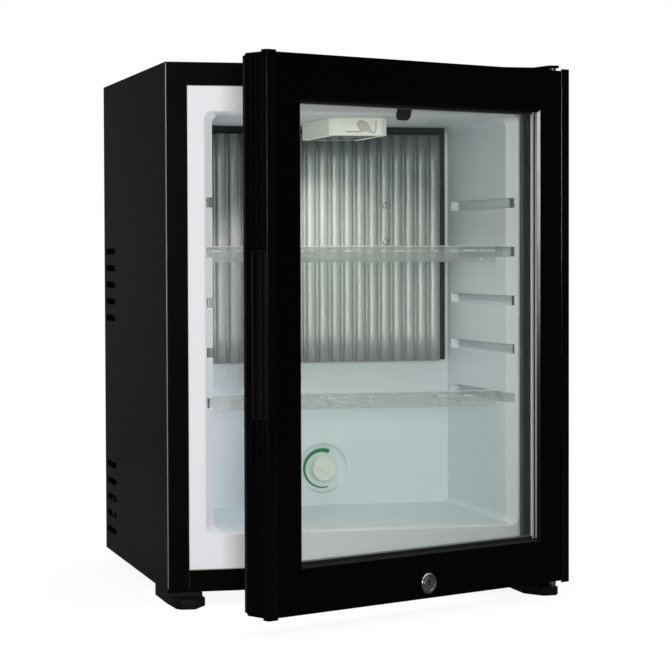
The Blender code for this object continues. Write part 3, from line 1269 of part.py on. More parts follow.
def make_finishes():
    """Return the materials by the name of the finish."""
    return {
        "steel_black": make_material("painted steel", (0.014, 0.014, 0.015), 0.45),
        "black_steel": make_material("black bracket", (0.010, 0.010, 0.011), 0.5, 0.3),
        "white": make_material("white liner", (0.78, 0.79, 0.80), 0.35),
        "foam": make_material("yellow foam", (0.72, 0.62, 0.36), 0.9),
        "galvanised": make_material("galvanised sheet", (0.52, 0.54, 0.56), 0.45, 0.9),
        "aluminium": make_material("brushed aluminium", (0.55, 0.57, 0.58), 0.38, 0.9),
        "steel": make_material("bright steel", (0.62, 0.62, 0.63), 0.25, 1.0),
        "chrome": make_material("chrome", (0.75, 0.75, 0.76), 0.1, 1.0),
        "cream": make_material("cream plastic", (0.72, 0.71, 0.64), 0.4),
        "green": make_material("green scale", (0.02, 0.22, 0.07), 0.45),
        "board": make_material("lamp board", (0.80, 0.80, 0.78), 0.5),
        "clear": make_material("clear plastic", (0.86, 0.90, 0.92), 0.08, 0.0, 0.35),
        "glass": make_material("glass", (0.80, 0.86, 0.86), 0.03, 0.0, 0.2),
        "gloss_black": make_material("gloss black", (0.004, 0.004, 0.005), 0.18),
        "black": make_material("black plastic", (0.012, 0.012, 0.013), 0.5),
        "rubber": make_material("black rubber", (0.010, 0.010, 0.010), 0.75),
        "nylon": make_material("nylon", (0.05, 0.05, 0.05), 0.5),
        "unit_paint": make_material("unit paint", (0.010, 0.010, 0.010), 0.4, 0.2),
    }


def centre_footprint(root):
    """Move the model so that the middle of its bounding box in plan is the origin."""
    bpy.context.view_layer.update()
    graph = bpy.context.evaluated_depsgraph_get()
    lows = [math.inf, math.inf]
    highs = [-math.inf, -math.inf]
    for item in bpy.data.objects:
        if item.type != "MESH" or item.hide_render:
            continue
        solid = item.evaluated_get(graph)
        for vertex in solid.data.vertices:
            place = solid.matrix_world @ vertex.co
            for axis in range(2):
                lows[axis] = min(lows[axis], place[axis])
                highs[axis] = max(highs[axis], place[axis])
    root.empty.location.x = -(lows[0] + highs[0]) / 2
    root.empty.location.y = -(lows[1] + highs[1]) / 2
    bpy.context.view_layer.update()


def main():
    """Build the fridge with its door ajar."""
    clear_scene()
    finishes = make_finishes()
    cabinet = Body("cabinet")
    door = Body("door", (HINGE_X, -HINGE_FORWARD, DOOR_LOW), cabinet)
    lock = Body("lock", (LOCK_X, -DOOR_FRONT, LOCK_Z), door)
    dial = Body("dial", (DIAL_X, CAVITY_DEPTH, DIAL_LEVEL), cabinet)
    lever_level = CAVITY_CEILING - GAP - LIGHT_HEIGHT / 2
    lever = Body("light_switch", (LEVER_OFFSET_X, LIGHT_FRONT, lever_level), cabinet)
    shelves = [Body(f"shelf_{number + 1}_body", (0, SHELF_FRONT, groove_centre(groove)), cabinet)
               for number, groove in enumerate(SHELF_GROOVES)]

    build_shell(cabinet, finishes["steel_black"])
    build_base_pan(cabinet, finishes["steel_black"])
    build_liner(cabinet, finishes["white"])
    build_foam(cabinet, finishes["foam"], finishes["galvanised"])
    build_cooling_plate(cabinet, finishes["aluminium"], finishes["steel"])
    build_light_box(cabinet, lever, finishes)
    build_thermostat(cabinet, dial, finishes)
    for body, name, groove in zip(shelves, ("upper_shelf", "lower_shelf"), SHELF_GROOVES):
        build_shelf(body, name, groove, finishes["clear"])
    build_feet(cabinet, finishes["rubber"], finishes["black"])
    build_hinges(cabinet, door, finishes)
    frame_front = build_door_frame(door, finishes)
    build_door_trim(door, finishes)
    build_lock(door, lock, finishes)
    build_light_magnet(door, finishes, frame_front)
    build_cooling_unit(cabinet, finishes)
    build_controls(cabinet, finishes)
    door.empty.rotation_euler.z = DOOR_AJAR
    centre_footprint(cabinet)


main()
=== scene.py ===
"""Looks of a minibar fridge: painted cabinet, white liner, insulated glass door and cooling unit.

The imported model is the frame. Its nodes keep their places, get procedural finishes, and where an
edge or a surface is finer than the solid shows, a finer piece stands for the node.
"""

from __future__ import annotations

import logging
import math
from dataclasses import dataclass
from enum import Enum
from typing import Any, Callable, Union

import bmesh
import bpy
import numpy as np
from mathutils import Matrix, Vector

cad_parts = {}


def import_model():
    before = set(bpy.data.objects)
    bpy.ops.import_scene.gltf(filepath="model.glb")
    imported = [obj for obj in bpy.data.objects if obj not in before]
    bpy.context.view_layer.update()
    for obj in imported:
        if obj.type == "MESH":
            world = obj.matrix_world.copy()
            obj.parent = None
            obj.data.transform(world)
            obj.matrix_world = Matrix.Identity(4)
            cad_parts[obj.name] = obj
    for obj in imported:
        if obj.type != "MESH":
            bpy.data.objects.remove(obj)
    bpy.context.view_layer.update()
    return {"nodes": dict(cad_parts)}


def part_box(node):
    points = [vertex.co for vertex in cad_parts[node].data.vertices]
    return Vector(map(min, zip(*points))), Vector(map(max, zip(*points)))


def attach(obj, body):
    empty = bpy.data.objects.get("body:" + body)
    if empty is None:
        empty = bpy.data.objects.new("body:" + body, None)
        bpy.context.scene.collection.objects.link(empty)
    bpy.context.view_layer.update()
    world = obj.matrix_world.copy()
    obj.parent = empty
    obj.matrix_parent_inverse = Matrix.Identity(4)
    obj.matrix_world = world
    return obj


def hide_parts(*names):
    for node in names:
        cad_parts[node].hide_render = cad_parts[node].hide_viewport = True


LOG = logging.getLogger("minibar")
Colour = tuple[float, float, float]
Place = tuple[float, float, float]
Span = tuple[float, float]
Number = Union[float, "Term"]

DOOR_TURN = math.radians(27.756)
HINGE_PIVOT: Place = (0.191517, -0.111268, 0.0153)


class Rides(Enum):
    """The bodies that a piece can ride on."""

    CABINET = "cabinet"
    DOOR = "door"
    LOCK = "lock"
    DIAL = "dial"
    SWITCH = "light_switch"
    UPPER_SHELF = "shelf_1_body"
    LOWER_SHELF = "shelf_2_body"


def maths(operation: str, swapped: bool = False) -> Callable[..., "Term"]:
    """Return a method that joins a term and another value in a Math node, swapped in a reflected form."""

    def method(term: "Term", other: Number = 0.0) -> "Term":
        """Add the Math node."""
        first, second = (other, term) if swapped else (term, other)
        return term.book.node("ShaderNodeMath", {"operation": operation}, {0: first, 1: second})

    return method


class Term:
    """An output socket of a material that can stand in a Python expression.

    A comparison is 1 where it holds, else 0, and a remainder is never negative. least and most are the
    smaller and the larger of two values, and size is a value without its sign.
    """

    __add__ = maths("ADD")
    __radd__ = maths("ADD", True)
    __sub__ = maths("SUBTRACT")
    __rsub__ = maths("SUBTRACT", True)
    __mul__ = maths("MULTIPLY")
    __rmul__ = maths("MULTIPLY", True)
    __truediv__ = maths("DIVIDE")
    __mod__ = maths("FLOORED_MODULO")
    __lt__ = maths("LESS_THAN")
    __gt__ = maths("GREATER_THAN")
    least = maths("MINIMUM")
    most = maths("MAXIMUM")
    size = maths("ABSOLUTE")

    def __init__(self, book: "NodeBook", socket: bpy.types.NodeSocket) -> None:
        """Keep the socket and the tree that it belongs to."""
        self.book = book
        self.socket = socket

    def ramp(self, low: float, high: float) -> "Term":
        """Return 0 below low, 1 above high, and a straight line between."""
        settings = {"clamp": True}
        return self.book.node("ShaderNodeMapRange", settings, {0: self, 1: low, 2: high, 3: 0.0, 4: 1.0})


class NodeBook:
    """The node tree of one material or world, with the one method that adds nodes."""

    def __init__(self, name: str, owner: bpy.types.World | None = None) -> None:
        """Start an empty tree with its output.

        Args:
            name: The material's name.
            owner: The world, where the tree isn't a material's.
        """
        self.owner = owner or bpy.data.materials.new(name)
        self.owner.use_nodes = True
        self.tree = self.owner.node_tree
        self.tree.nodes.clear()
        self.output = self.tree.nodes.new("ShaderNodeOutputWorld" if owner else "ShaderNodeOutputMaterial")

    def node(self, kind: str, settings: dict[str, Any] | None = None,
             values: dict[Any, Any] | None = None, output: Any = 0) -> Term:
        """Add one node.

        Args:
            kind: The node's type.
            settings: What is set before its sockets, such as an operation.
            values: Numbers, colours or terms, by input socket.
            output: Which output is wanted.

        Returns:
            The wanted output as a term.
        """
        made = self.tree.nodes.new(kind)
        for name, value in (settings or {}).items():
            setattr(made, name, value)
        for key, value in (values or {}).items():
            socket = made.inputs[key]
            if isinstance(value, Term):
                self.tree.links.new(value.socket, socket)
            elif socket.type == "RGBA" and len(value) == 3:
                socket.default_value = (*value, 1.0)
            else:
                socket.default_value = value
        return Term(self, made.outputs[output])

    def place(self, turn: Place = (0.0, 0.0, 0.0), scale: Place = (1.0, 1.0, 1.0),
              origin: Place = (0.0, 0.0, 0.0)) -> Term:
        """Return object coordinates about an origin, turned and scaled by a Mapping node."""
        raw = self.node("ShaderNodeTexCoord", output="Object")
        start = tuple(-value for value in origin)
        moved = self.node("ShaderNodeMapping", {"vector_type": "POINT"}, {0: raw, 1: start})
        return self.node("ShaderNodeMapping", {"vector_type": "POINT"}, {0: moved, 2: turn, 3: scale})

    def axes(self, place: Term) -> tuple[Term, Term, Term]:
        """Return the three coordinates of a place."""
        parts = [self.node("ShaderNodeSeparateXYZ", None, {0: place}, index) for index in range(3)]
        return parts[0], parts[1], parts[2]

    def noise(self, place: Term, scale: float, detail: float = 3.0, roughness: float = 0.5) -> Term:
        """Return soft noise around 0.5 at the given scale, in waves a metre."""
        values = {"Vector": place, "Scale": scale, "Detail": detail, "Roughness": roughness}
        return self.node("ShaderNodeTexNoise", None, values)

    def cells(self, place: Term, scale: float, output: str = "Distance") -> Term:
        """Return the distance to the nearest point of a scatter, or its colour."""
        return self.node("ShaderNodeTexVoronoi", None, {"Vector": place, "Scale": scale}, output)

    def mix(self, share: Number, first: Any, second: Any) -> Term:
        """Return the colour between first and second."""
        return self.node("ShaderNodeMix", {"data_type": "RGBA"}, {0: share, 6: first, 7: second}, 2)

    def bump(self, height: Term, strength: float, distance: float, under: Term | None = None) -> Term:
        """Return the normal of a surface raised by a height between 0 and 1 times the distance."""
        values: dict[Any, Any] = {"Height": height, "Strength": strength, "Distance": distance}
        if under is not None:
            values["Normal"] = under
        return self.node("ShaderNodeBump", None, values)

    def principled(self, **values: Any) -> Term:
        """Add a Principled shader; underscores in names stand for spaces."""
        named = {key.replace("_", " "): value for key, value in values.items()}
        return self.node("ShaderNodeBsdfPrincipled", None, named)

    def ray(self, name: str) -> Term:
        """Return what a Light Path node says about a ray."""
        return self.node("ShaderNodeLightPath", output=name)

    def blend(self, share: Term, first: Term, second: Term) -> Term:
        """Return the shader between first and second."""
        return self.node("ShaderNodeMixShader", None, {0: share, 1: first, 2: second})

    def rays(self) -> tuple[Term, Term]:
        """Tell apart the rays that show the background.

        Returns:
            1 for camera rays and rays that glass lets straight through, and 1 for mirrored rays,
            before any of them has met a matt surface.
        """
        camera, through, glossy, matt, mirrors = map(self.ray, (
            "Is Camera Ray", "Is Transmission Ray", "Is Glossy Ray", "Diffuse Depth", "Glossy Depth"))
        first = matt < 0.5
        mirrored = (mirrors > 0.5) * first
        straight = camera.most(through * first * (1.0 - mirrored))
        return straight, glossy.most(through) * mirrored

    def finish(self, shader: Term) -> bpy.types.Material | bpy.types.World:
        """Join the shader to the output and return the material or world."""
        self.tree.links.new(shader.socket, self.output.inputs["Surface"])
        return self.owner


@dataclass(frozen=True)
class Finish:
    """A procedural finish. Each kind has a shader method that adds its nodes."""

    name: str

    def make(self) -> bpy.types.Material:
        """Return the material."""
        book = NodeBook(self.name)
        return book.finish(self.shader(book))


@dataclass(frozen=True)
class PaintedSheet(Finish):
    """Baked satin paint on folded steel: a fine orange peel, a little dust and slow drift of tone."""

    name: str = "painted_sheet"
    colour: Colour = (0.0022, 0.0022, 0.0023)
    dusty: Colour = (0.0042, 0.0042, 0.0043)
    roughness: float = 0.20
    shine: float = 0.045

    def shader(self, book: NodeBook) -> Term:
        """Return the shader."""
        place = book.place()
        drift = book.noise(place, 7.0, 2.0)
        dust = book.noise(place, 900.0, 2.0, 0.7).ramp(0.60, 0.78)
        colour = book.mix((drift - 0.35) * 0.9, self.colour, self.dusty)
        colour = book.mix(dust * 0.30, colour, (0.012, 0.012, 0.012))
        peel = book.noise(place, 1300.0, 2.0, 0.45)
        rough = drift * 0.10 + (self.roughness - 0.05) + dust * 0.12
        return book.principled(
            Base_Color=colour, Roughness=rough, Specular_IOR_Level=self.shine,
            Normal=book.bump(peel, 0.12, 0.00010))


@dataclass(frozen=True)
class DoorLacquer(Finish):
    """Deep black lacquer on the mitred door bars: long soft waves and few specks."""

    name: str = "door_lacquer"
    colour: Colour = (0.0006, 0.0006, 0.0006)
    roughness: float = 0.16
    shine: float = 0.14

    def shader(self, book: NodeBook) -> Term:
        """Return the shader."""
        place = book.place(scale=(1.0, 1.0, 0.35))
        specks = book.cells(place, 260.0).ramp(0.12, 0.02)
        handled = book.noise(place, 18.0, 3.0, 0.6).ramp(0.45, 0.75)
        colour = book.mix(specks * 0.3, self.colour, (0.004, 0.004, 0.004))
        wave = book.noise(place, 420.0, 1.0, 0.4)
        return book.principled(
            Base_Color=colour, Roughness=handled * 0.07 + self.roughness,
            Specular_IOR_Level=self.shine,
            Normal=book.bump(wave, 0.05, 0.00010))


@dataclass(frozen=True)
class MouldedPlastic(Finish):
    """Moulded plastic with a spark-eroded grain, worn slightly smoother where it is touched."""

    colour: Colour
    worn: Colour
    roughness: float
    grain: float = 0.20
    grain_scale: float = 1700.0
    shine: float = 0.30
    # glow is painted light: the plastic glows in its own colour though it is no lamp.
    glow: float = 0.0

    def shader(self, book: NodeBook) -> Term:
        """Return the shader."""
        place = book.place()
        drift = book.noise(place, 24.0, 3.0, 0.55)
        grain = book.noise(place, self.grain_scale, 2.0, 0.6)
        pits = book.cells(place, self.grain_scale * 0.55)
        colour = book.mix((drift - 0.3) * 1.2, self.colour, self.worn)
        return book.principled(
            Base_Color=colour, Roughness=drift * 0.12 + (self.roughness - 0.06),
            Specular_IOR_Level=self.shine, Emission_Color=self.colour, Emission_Strength=self.glow,
            Normal=book.bump(grain + pits * 0.5, self.grain, 0.00008))


@dataclass(frozen=True)
class LinerPlastic(Finish):
    """Vacuum-formed white sheet: almost smooth, with slow thickness waves, and darker and bluer inside as
    painted shade.
    """

    name: str = "liner_plastic"
    colour: Colour = (0.760, 0.765, 0.790)
    inner_shade: Colour = (0.725, 0.765, 0.800)
    mouth: Span = (-0.085, -0.030)

    def shader(self, book: NodeBook) -> Term:
        """Return the shader."""
        place = book.place()
        _, depth, _ = book.axes(place)
        # Painted shade: away from the mouth the colour goes over to the darker, bluer inner shade.
        inside = depth.ramp(*self.mouth)
        wave = book.noise(place, 9.0, 2.0)
        peel = book.noise(place, 800.0, 1.0, 0.4)
        colour = book.mix(inside * 0.85 + (wave - 0.5) * 0.25, self.colour, self.inner_shade)
        return book.principled(
            Base_Color=colour, Roughness=wave * 0.12 + 0.30, Specular_IOR_Level=0.40,
            Normal=book.bump(peel, 0.06, 0.00010, book.bump(wave, 0.10, 0.0012)))


@dataclass(frozen=True)
class Aluminium(Finish):
    """Rolled aluminium with fine lines along one axis.

    Where a dim colour is given, it is a painted shadow: it grows in over the painted shade levels of z +
    max(x * slant, x * other slant).
    """

    colour: Colour
    roughness: float = 0.36
    lines: Place = (900.0, 900.0, 1.5)
    metal: float = 0.75
    dim: Colour | None = None
    painted_shade_levels: Span = (0.425, 0.468)
    painted_shade_slants: Span = (0.318, -0.62)

    def shader(self, book: NodeBook) -> Term:
        """Return the shader."""
        lines = book.noise(book.place(scale=self.lines), 1.0, 3.0, 0.6)
        cloud = book.noise(book.place(), 16.0, 3.0, 0.6)
        dull = tuple(value * 0.82 for value in self.colour)
        colour = book.mix(lines * 0.2 + cloud * 0.3, self.colour, dull)
        # Painted shade: the upper part turns towards the dim colour, standing in for a shadow over the
        # plate's top.
        if self.dim is not None:
            across, _, level = book.axes(book.place())
            slant, other_slant = self.painted_shade_slants
            upper = (level + (across * slant).most(across * other_slant)).ramp(*self.painted_shade_levels)
            colour = book.mix(upper * 0.8, colour, self.dim)
        return book.principled(
            Base_Color=colour, Metallic=self.metal,
            Roughness=lines * 0.04 + cloud * 0.06 + (self.roughness - 0.05),
            Normal=book.bump(lines, 0.01, 0.00003))


@dataclass(frozen=True)
class PolishedMetal(Finish):
    """Plated or turned bright metal with faint turning marks and handling haze."""

    colour: Colour
    roughness: float

    def shader(self, book: NodeBook) -> Term:
        """Return the shader."""
        place = book.place()
        haze = book.noise(place, 180.0, 3.0, 0.6)
        marks = book.noise(book.place(scale=(400.0, 400.0, 4000.0)), 1.0, 2.0)
        dull = tuple(value * 0.86 for value in self.colour)
        return book.principled(
            Base_Color=book.mix(haze, self.colour, dull), Metallic=1.0,
            Roughness=haze * 0.10 + self.roughness, Normal=book.bump(marks, 0.04, 0.00003))


@dataclass(frozen=True)
class Galvanised(Finish):
    """Zinc-coated sheet with its crystal spangle."""

    name: str = "galvanised_sheet"
    colour: Colour = (0.46, 0.48, 0.50)
    bright: Colour = (0.62, 0.64, 0.66)

    def shader(self, book: NodeBook) -> Term:
        """Return the shader."""
        place = book.place()
        spangle = book.cells(place, 130.0, "Color")
        tone = book.node("ShaderNodeRGBToBW", None, {0: spangle})
        stain = book.noise(place, 6.0, 4.0, 0.65)
        return book.principled(
            Base_Color=book.mix(tone, self.colour, self.bright), Metallic=0.8,
            Roughness=tone * 0.22 + stain * 0.2 + 0.24, Normal=book.bump(tone, 0.04, 0.0001))


@dataclass(frozen=True)
class UnitLacquer(Finish):
    """Thin black dip lacquer on the welded pipes, with runs and dull patches."""

    name: str = "unit_lacquer"
    colour: Colour = (0.0060, 0.0060, 0.0062)

    def shader(self, book: NodeBook) -> Term:
        """Return the shader."""
        place = book.place()
        runs = book.noise(book.place(scale=(160.0, 160.0, 30.0)), 1.0, 3.0, 0.55)
        dull = book.noise(place, 22.0, 3.0, 0.6).ramp(0.42, 0.70)
        return book.principled(
            Base_Color=book.mix(dull, self.colour, (0.020, 0.019, 0.018)),
            Roughness=dull * 0.30 + 0.24, Specular_IOR_Level=0.40, Normal=book.bump(runs, 0.20, 0.0005))


@dataclass(frozen=True)
class Rubber(Finish):
    """Soft black rubber with a chalky bloom."""

    name: str = "black_rubber"
    colour: Colour = (0.0060, 0.0060, 0.0060)

    def shader(self, book: NodeBook) -> Term:
        """Return the shader."""
        place = book.place()
        bloom = book.noise(place, 60.0, 4.0, 0.65).ramp(0.45, 0.8)
        grain = book.noise(place, 1500.0, 1.0)
        return book.principled(
            Base_Color=book.mix(bloom * 0.6, self.colour, (0.026, 0.026, 0.025)),
            Roughness=bloom * 0.1 + 0.66, Specular_IOR_Level=0.25, Normal=book.bump(grain, 0.15, 0.00008))


@dataclass(frozen=True)
class FoamCore(Finish):
    """Poured foam: pale yellow skin with open bubbles."""

    name: str = "foam_core"
    colour: Colour = (0.72, 0.60, 0.34)

    def shader(self, book: NodeBook) -> Term:
        """Return the shader."""
        place = book.place()
        bubbles = book.cells(place, 700.0)
        tone = book.noise(place, 20.0, 4.0)
        return book.principled(
            Base_Color=book.mix(tone, self.colour, (0.60, 0.47, 0.24)), Roughness=tone * 0.1 + 0.85,
            Normal=book.bump(bubbles, 0.5, 0.0006))


@dataclass(frozen=True)
class ClearSheet(Finish):
    """Glass or clear plastic that lets lamp and bounced light straight through, slightly tinted."""

    tint: Colour
    roughness: float = 0.0
    smear: float = 0.02
    ior: float = 1.5
    shine: float = 0.5
    passed: Colour = (0.93, 0.95, 0.955)

    def shader(self, book: NodeBook) -> Term:
        """Return the shader."""
        wiped = book.noise(book.place(scale=(1.0, 1.0, 0.4)), 12.0, 4.0, 0.6).ramp(0.5, 0.8)
        body = book.principled(
            Base_Color=self.tint, Roughness=wiped * self.smear + self.roughness, IOR=self.ior,
            Specular_IOR_Level=self.shine, Transmission_Weight=1.0)
        clear = book.node("ShaderNodeBsdfTransparent", None, {"Color": self.passed})
        seen = book.blend(book.ray("Diffuse Depth") > 0.5, body, clear)
        return book.blend(book.ray("Is Shadow Ray"), seen, clear)


@dataclass(frozen=True)
class ShelfPlastic(Finish):
    """Clear styrene gone milky, with fine scratches from use.

    The lip's lower part is milky and its upper part clear. A painted highlight lies on the sheet's cut edge
    and the lip's top. Lamp light passes straight through, slightly tinted.
    """

    foot: float
    colour: Colour = (0.44, 0.46, 0.45)
    scratched: Colour = (0.60, 0.62, 0.61)
    # bright is the colour of the painted highlight on the lip.
    bright: Colour = (0.80, 0.83, 0.83)
    cover: float = 0.46
    lip_back: float = -0.0455
    edge: Span = (0.0112, 0.0126)
    rim: float = 0.0161
    passed: Colour = (0.86, 0.89, 0.89)

    def shader(self, book: NodeBook) -> Term:
        """Return the shader."""
        place = book.place()
        _, depth, level = book.axes(place)
        level = level - self.foot
        cloud = book.noise(place, 14.0, 3.0, 0.6)
        scratches = book.noise(book.place(turn=(0.0, 0.0, 0.5), scale=(60.0, 900.0, 200.0)), 1.0, 2.0, 0.7)
        worn = scratches.ramp(0.60, 0.74)
        lip = depth < self.lip_back
        # Painted highlight: a broken bright line at the sheet's cut edge and a line along the lip's top.
        broken = book.noise(book.place(scale=(70.0, 5.0, 5.0)), 1.0, 3.0, 0.7).ramp(0.47, 0.60)
        foot, top = self.edge
        edge = (level > foot) * (level < top) * broken
        glint = lip * edge.most((level > self.rim) * 0.8)
        clear = lip * (level > top)
        colour = book.mix(worn * 0.7, self.colour, self.scratched)
        cover = worn * 0.18 + cloud * 0.10 + (self.cover - 0.05)
        body = book.principled(
            Base_Color=book.mix(glint, colour, self.bright),
            Roughness=cloud * 0.08 + worn * 0.2 + 0.10, Specular_IOR_Level=0.5,
            Alpha=(cover * (1.0 - clear * 0.75)).most(glint * 0.85),
            Normal=book.bump(cloud, 0.10, 0.0006))
        passed = book.node("ShaderNodeBsdfTransparent", None, {"Color": self.passed})
        return book.blend(book.ray("Is Shadow Ray"), body, passed)


@dataclass(frozen=True)
class SpacerStrip(Finish):
    """The spacer between the panes: a perforated metal strip in front and black sealant behind it."""

    name: str = "spacer_strip"
    colour: Colour = (0.52, 0.53, 0.525)
    sealant: Colour = (0.006, 0.006, 0.006)
    pitch: float = 0.0024
    strip: Span = (-0.0062, -0.0040)
    fold: Span = (-0.0384, -0.0361)
    sides: Span = (-0.352, -0.037)
    hole: Span = (0.27, 0.28)

    def shader(self, book: NodeBook) -> Term:
        """Return the shader."""
        across, depth, height = book.axes(book.place(turn=(0.0, 0.0, -DOOR_TURN), origin=HINGE_PIVOT))
        upright = 1.0 - (across > self.sides[0]) * (across < self.sides[1])
        along = height * upright + across * (1.0 - upright)
        half_length, half_height = self.hole
        hole = ((along % self.pitch) / self.pitch - 0.5).size() < half_length
        front, back = self.strip
        side = (depth > front) * (depth < back)
        folded = (depth < front) * (across > self.fold[0]) * (across < self.fold[1])
        metal = side.most(folded)
        row = (((depth - front) / (back - front) - 0.5).size() < half_height) * side
        holes = hole * row
        seam = book.noise(book.place(), 300.0, 2.0)
        colour = book.mix(metal, self.sealant, book.mix(holes * 0.8, self.colour, (0.08, 0.08, 0.08)))
        return book.principled(
            Base_Color=colour, Metallic=metal * 0.25, Roughness=seam * 0.15 + 0.35,
            Specular_IOR_Level=0.3, Normal=book.bump(1.0 - holes * metal, 0.5, 0.0002))


def linked(name: str, data: Any) -> bpy.types.Object:
    """Return a new object of the scene that holds the data."""
    item = bpy.data.objects.new(name, data)
    bpy.context.scene.collection.objects.link(item)
    return item


def modify(piece: bpy.types.Object, kind: str, **settings: Any) -> None:
    """Add a modifier with its settings."""
    modifier = piece.modifiers.new(kind.capitalize(), kind)
    for name, value in settings.items():
        setattr(modifier, name, value)


class Surfaces:
    """Meshes made from whole arrays: grids and profiles carried along a path."""

    @staticmethod
    def mesh(name: str, points: np.ndarray, fours: np.ndarray,
             threes: np.ndarray = np.empty((0, 3), int)) -> bpy.types.Object:
        """Put points (.., 3), four-cornered faces (m, 4) and triangles (k, 3) into a new object.

        Args:
            name: The piece's name.
            points: The places of its corners.
            fours: The corners of each four-cornered face.
            threes: The corners of each triangle.

        Returns:
            The object, linked to the scene, with its doubles merged and its normals outwards.
        """
        data = bpy.data.meshes.new(name)
        data.from_pydata(points.reshape(-1, 3).tolist(), [], fours.tolist() + threes.tolist())
        shape = bmesh.new()
        shape.from_mesh(data)
        bmesh.ops.remove_doubles(shape, verts=shape.verts, dist=1e-7)
        bmesh.ops.dissolve_degenerate(shape, edges=shape.edges, dist=1e-8)
        bmesh.ops.recalc_face_normals(shape, faces=shape.faces)
        shape.to_mesh(data)
        shape.free()
        data.shade_smooth()
        return linked(name, data)

    @staticmethod
    def grid_faces(rows: int, columns: int, wrap_rows: bool = False,
                   wrap_columns: bool = False) -> np.ndarray:
        """Return the faces of a grid; each face joins (r, c), (r, c+1), (r+1, c+1) and (r+1, c)."""
        r, c = np.meshgrid(np.arange(rows - (not wrap_rows)), np.arange(columns - (not wrap_columns)),
                           indexing="ij")
        first, second = r * columns, (r + 1) % rows * columns
        after = (c + 1) % columns
        return np.stack([first + c, first + after, second + after, second + c], axis=-1).reshape(-1, 4)

    @staticmethod
    def column(x: np.ndarray, y: np.ndarray, levels: Span) -> np.ndarray:
        """Return the outline (x, y) at each of two levels."""
        return np.stack([np.column_stack([x, y, np.full(len(x), level)]) for level in levels])

    @staticmethod
    def upright(flat: np.ndarray, depth: np.ndarray) -> np.ndarray:
        """Return places from (across, level) pairs (n, k, 2) and the depths of the k corners."""
        return np.stack([flat[..., 0], np.broadcast_to(depth, flat.shape[:2]), flat[..., 1]], axis=-1)

    @classmethod
    def carried(cls, name: str, corners: np.ndarray, closed: bool = False) -> bpy.types.Object:
        """Join sections (n, k, 3), each a closed outline, along a path.

        Where the path is open, each end is shut by a fan of triangles round the section's middle.
        """
        rows, columns = corners.shape[:2]
        faces = cls.grid_faces(rows, columns, closed, True)
        if closed:
            return cls.mesh(name, corners, faces)
        points = np.concatenate([corners.reshape(-1, 3), corners[[0, -1]].mean(axis=1)])
        around = np.arange(columns)
        after = (around + 1) % columns
        middle = np.full(columns, rows * columns)
        last_row = (rows - 1) * columns
        first = np.stack([around, middle, after], axis=-1)
        last = np.stack([last_row + around, last_row + after, middle + 1], axis=-1)
        return cls.mesh(name, points, faces, np.concatenate([first, last]))


class DoorFrame:
    """The door's own directions: across from the hinge, depth from its front to back, and height."""

    ways = np.array([[math.cos(DOOR_TURN), math.sin(DOOR_TURN), 0.0],
                     [-math.sin(DOOR_TURN), math.cos(DOOR_TURN), 0.0], [0.0, 0.0, 1.0]])
    pivot = np.array([HINGE_PIVOT[0], HINGE_PIVOT[1], 0.0])

    @classmethod
    def to_local(cls, points: np.ndarray) -> np.ndarray:
        """Return places (.., 3) in the door's directions."""
        return (points - cls.pivot) @ cls.ways.T

    @classmethod
    def to_world(cls, points: np.ndarray) -> np.ndarray:
        """Return places (.., 3) in the room's directions at rest."""
        return points @ cls.ways + cls.pivot


@dataclass
class Workshop:
    """Dresses nodes and seats pieces on their bodies."""

    nodes: dict[str, bpy.types.Object]
    materials: dict[str, bpy.types.Material]
    merged_within: float = 2e-6
    level_within: float = math.radians(0.6)
    flat_weight: int = 85

    def dress(self, finish: str, *names: str) -> None:
        """Give the nodes the finish."""
        for name in names:
            self.paint(self.nodes[name], finish)

    def paint(self, item: bpy.types.Object, finish: str) -> None:
        """Make the finish an object's only material."""
        item.data.materials.clear()
        item.data.materials.append(self.materials[finish])

    def seat(self, piece: bpy.types.Object, finish: str, slot: str, body: Rides = Rides.CABINET,
             stands_for: str | None = None) -> None:
        """Finish a piece and let it ride on its body.

        Args:
            piece: The new piece.
            finish: The name of its finish.
            slot: A record's material slot; not used.
            body: What it moves with.
            stands_for: The node that it replaces.
        """
        self.paint(piece, finish)
        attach(piece, body.value)
        if stands_for is not None:
            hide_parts(stands_for)
        LOG.info("%s rides on %s", piece.name, body.value)

    def softened(self, node: str, width: float, finish: str, slot: str, body: Rides = Rides.CABINET,
                 segments: int = 2, angle: float = 34.0,
                 shape: Callable[[np.ndarray], np.ndarray] | None = None) -> None:
        """Stand a copy with rolled edges in a node's place; its large faces stay flat.

        Args:
            node: The node to copy.
            width: How far the rolled edge reaches.
            finish: The name of its finish.
            slot: A record's material slot, passed on to seat, which does not use it.
            body: What it moves with.
            segments: Facets across an edge.
            angle: Edges that turn by more degrees than this are rolled.
            shape: Moves the corners before the edges are rolled.
        """
        data = self.nodes[node].data.copy()
        if shape is not None:
            places = np.empty(len(data.vertices) * 3)
            data.vertices.foreach_get("co", places)
            data.vertices.foreach_set("co", shape(places.reshape(-1, 3)).ravel())
        merged = bmesh.new()
        merged.from_mesh(data)
        bmesh.ops.remove_doubles(merged, verts=merged.verts, dist=self.merged_within)
        bmesh.ops.dissolve_limit(merged, angle_limit=self.level_within, verts=merged.verts,
                                 edges=merged.edges, delimit={"NORMAL"})
        merged.to_mesh(data)
        merged.free()
        data.name = f"{node}_finished"
        data.shade_smooth()
        piece = linked(data.name, data)
        modify(piece, "BEVEL", width=width, segments=segments, limit_method="ANGLE",
               angle_limit=math.radians(angle), use_clamp_overlap=True)
        modify(piece, "WEIGHTED_NORMAL", weight=self.flat_weight, keep_sharp=True)
        self.seat(piece, finish, slot, body, node)


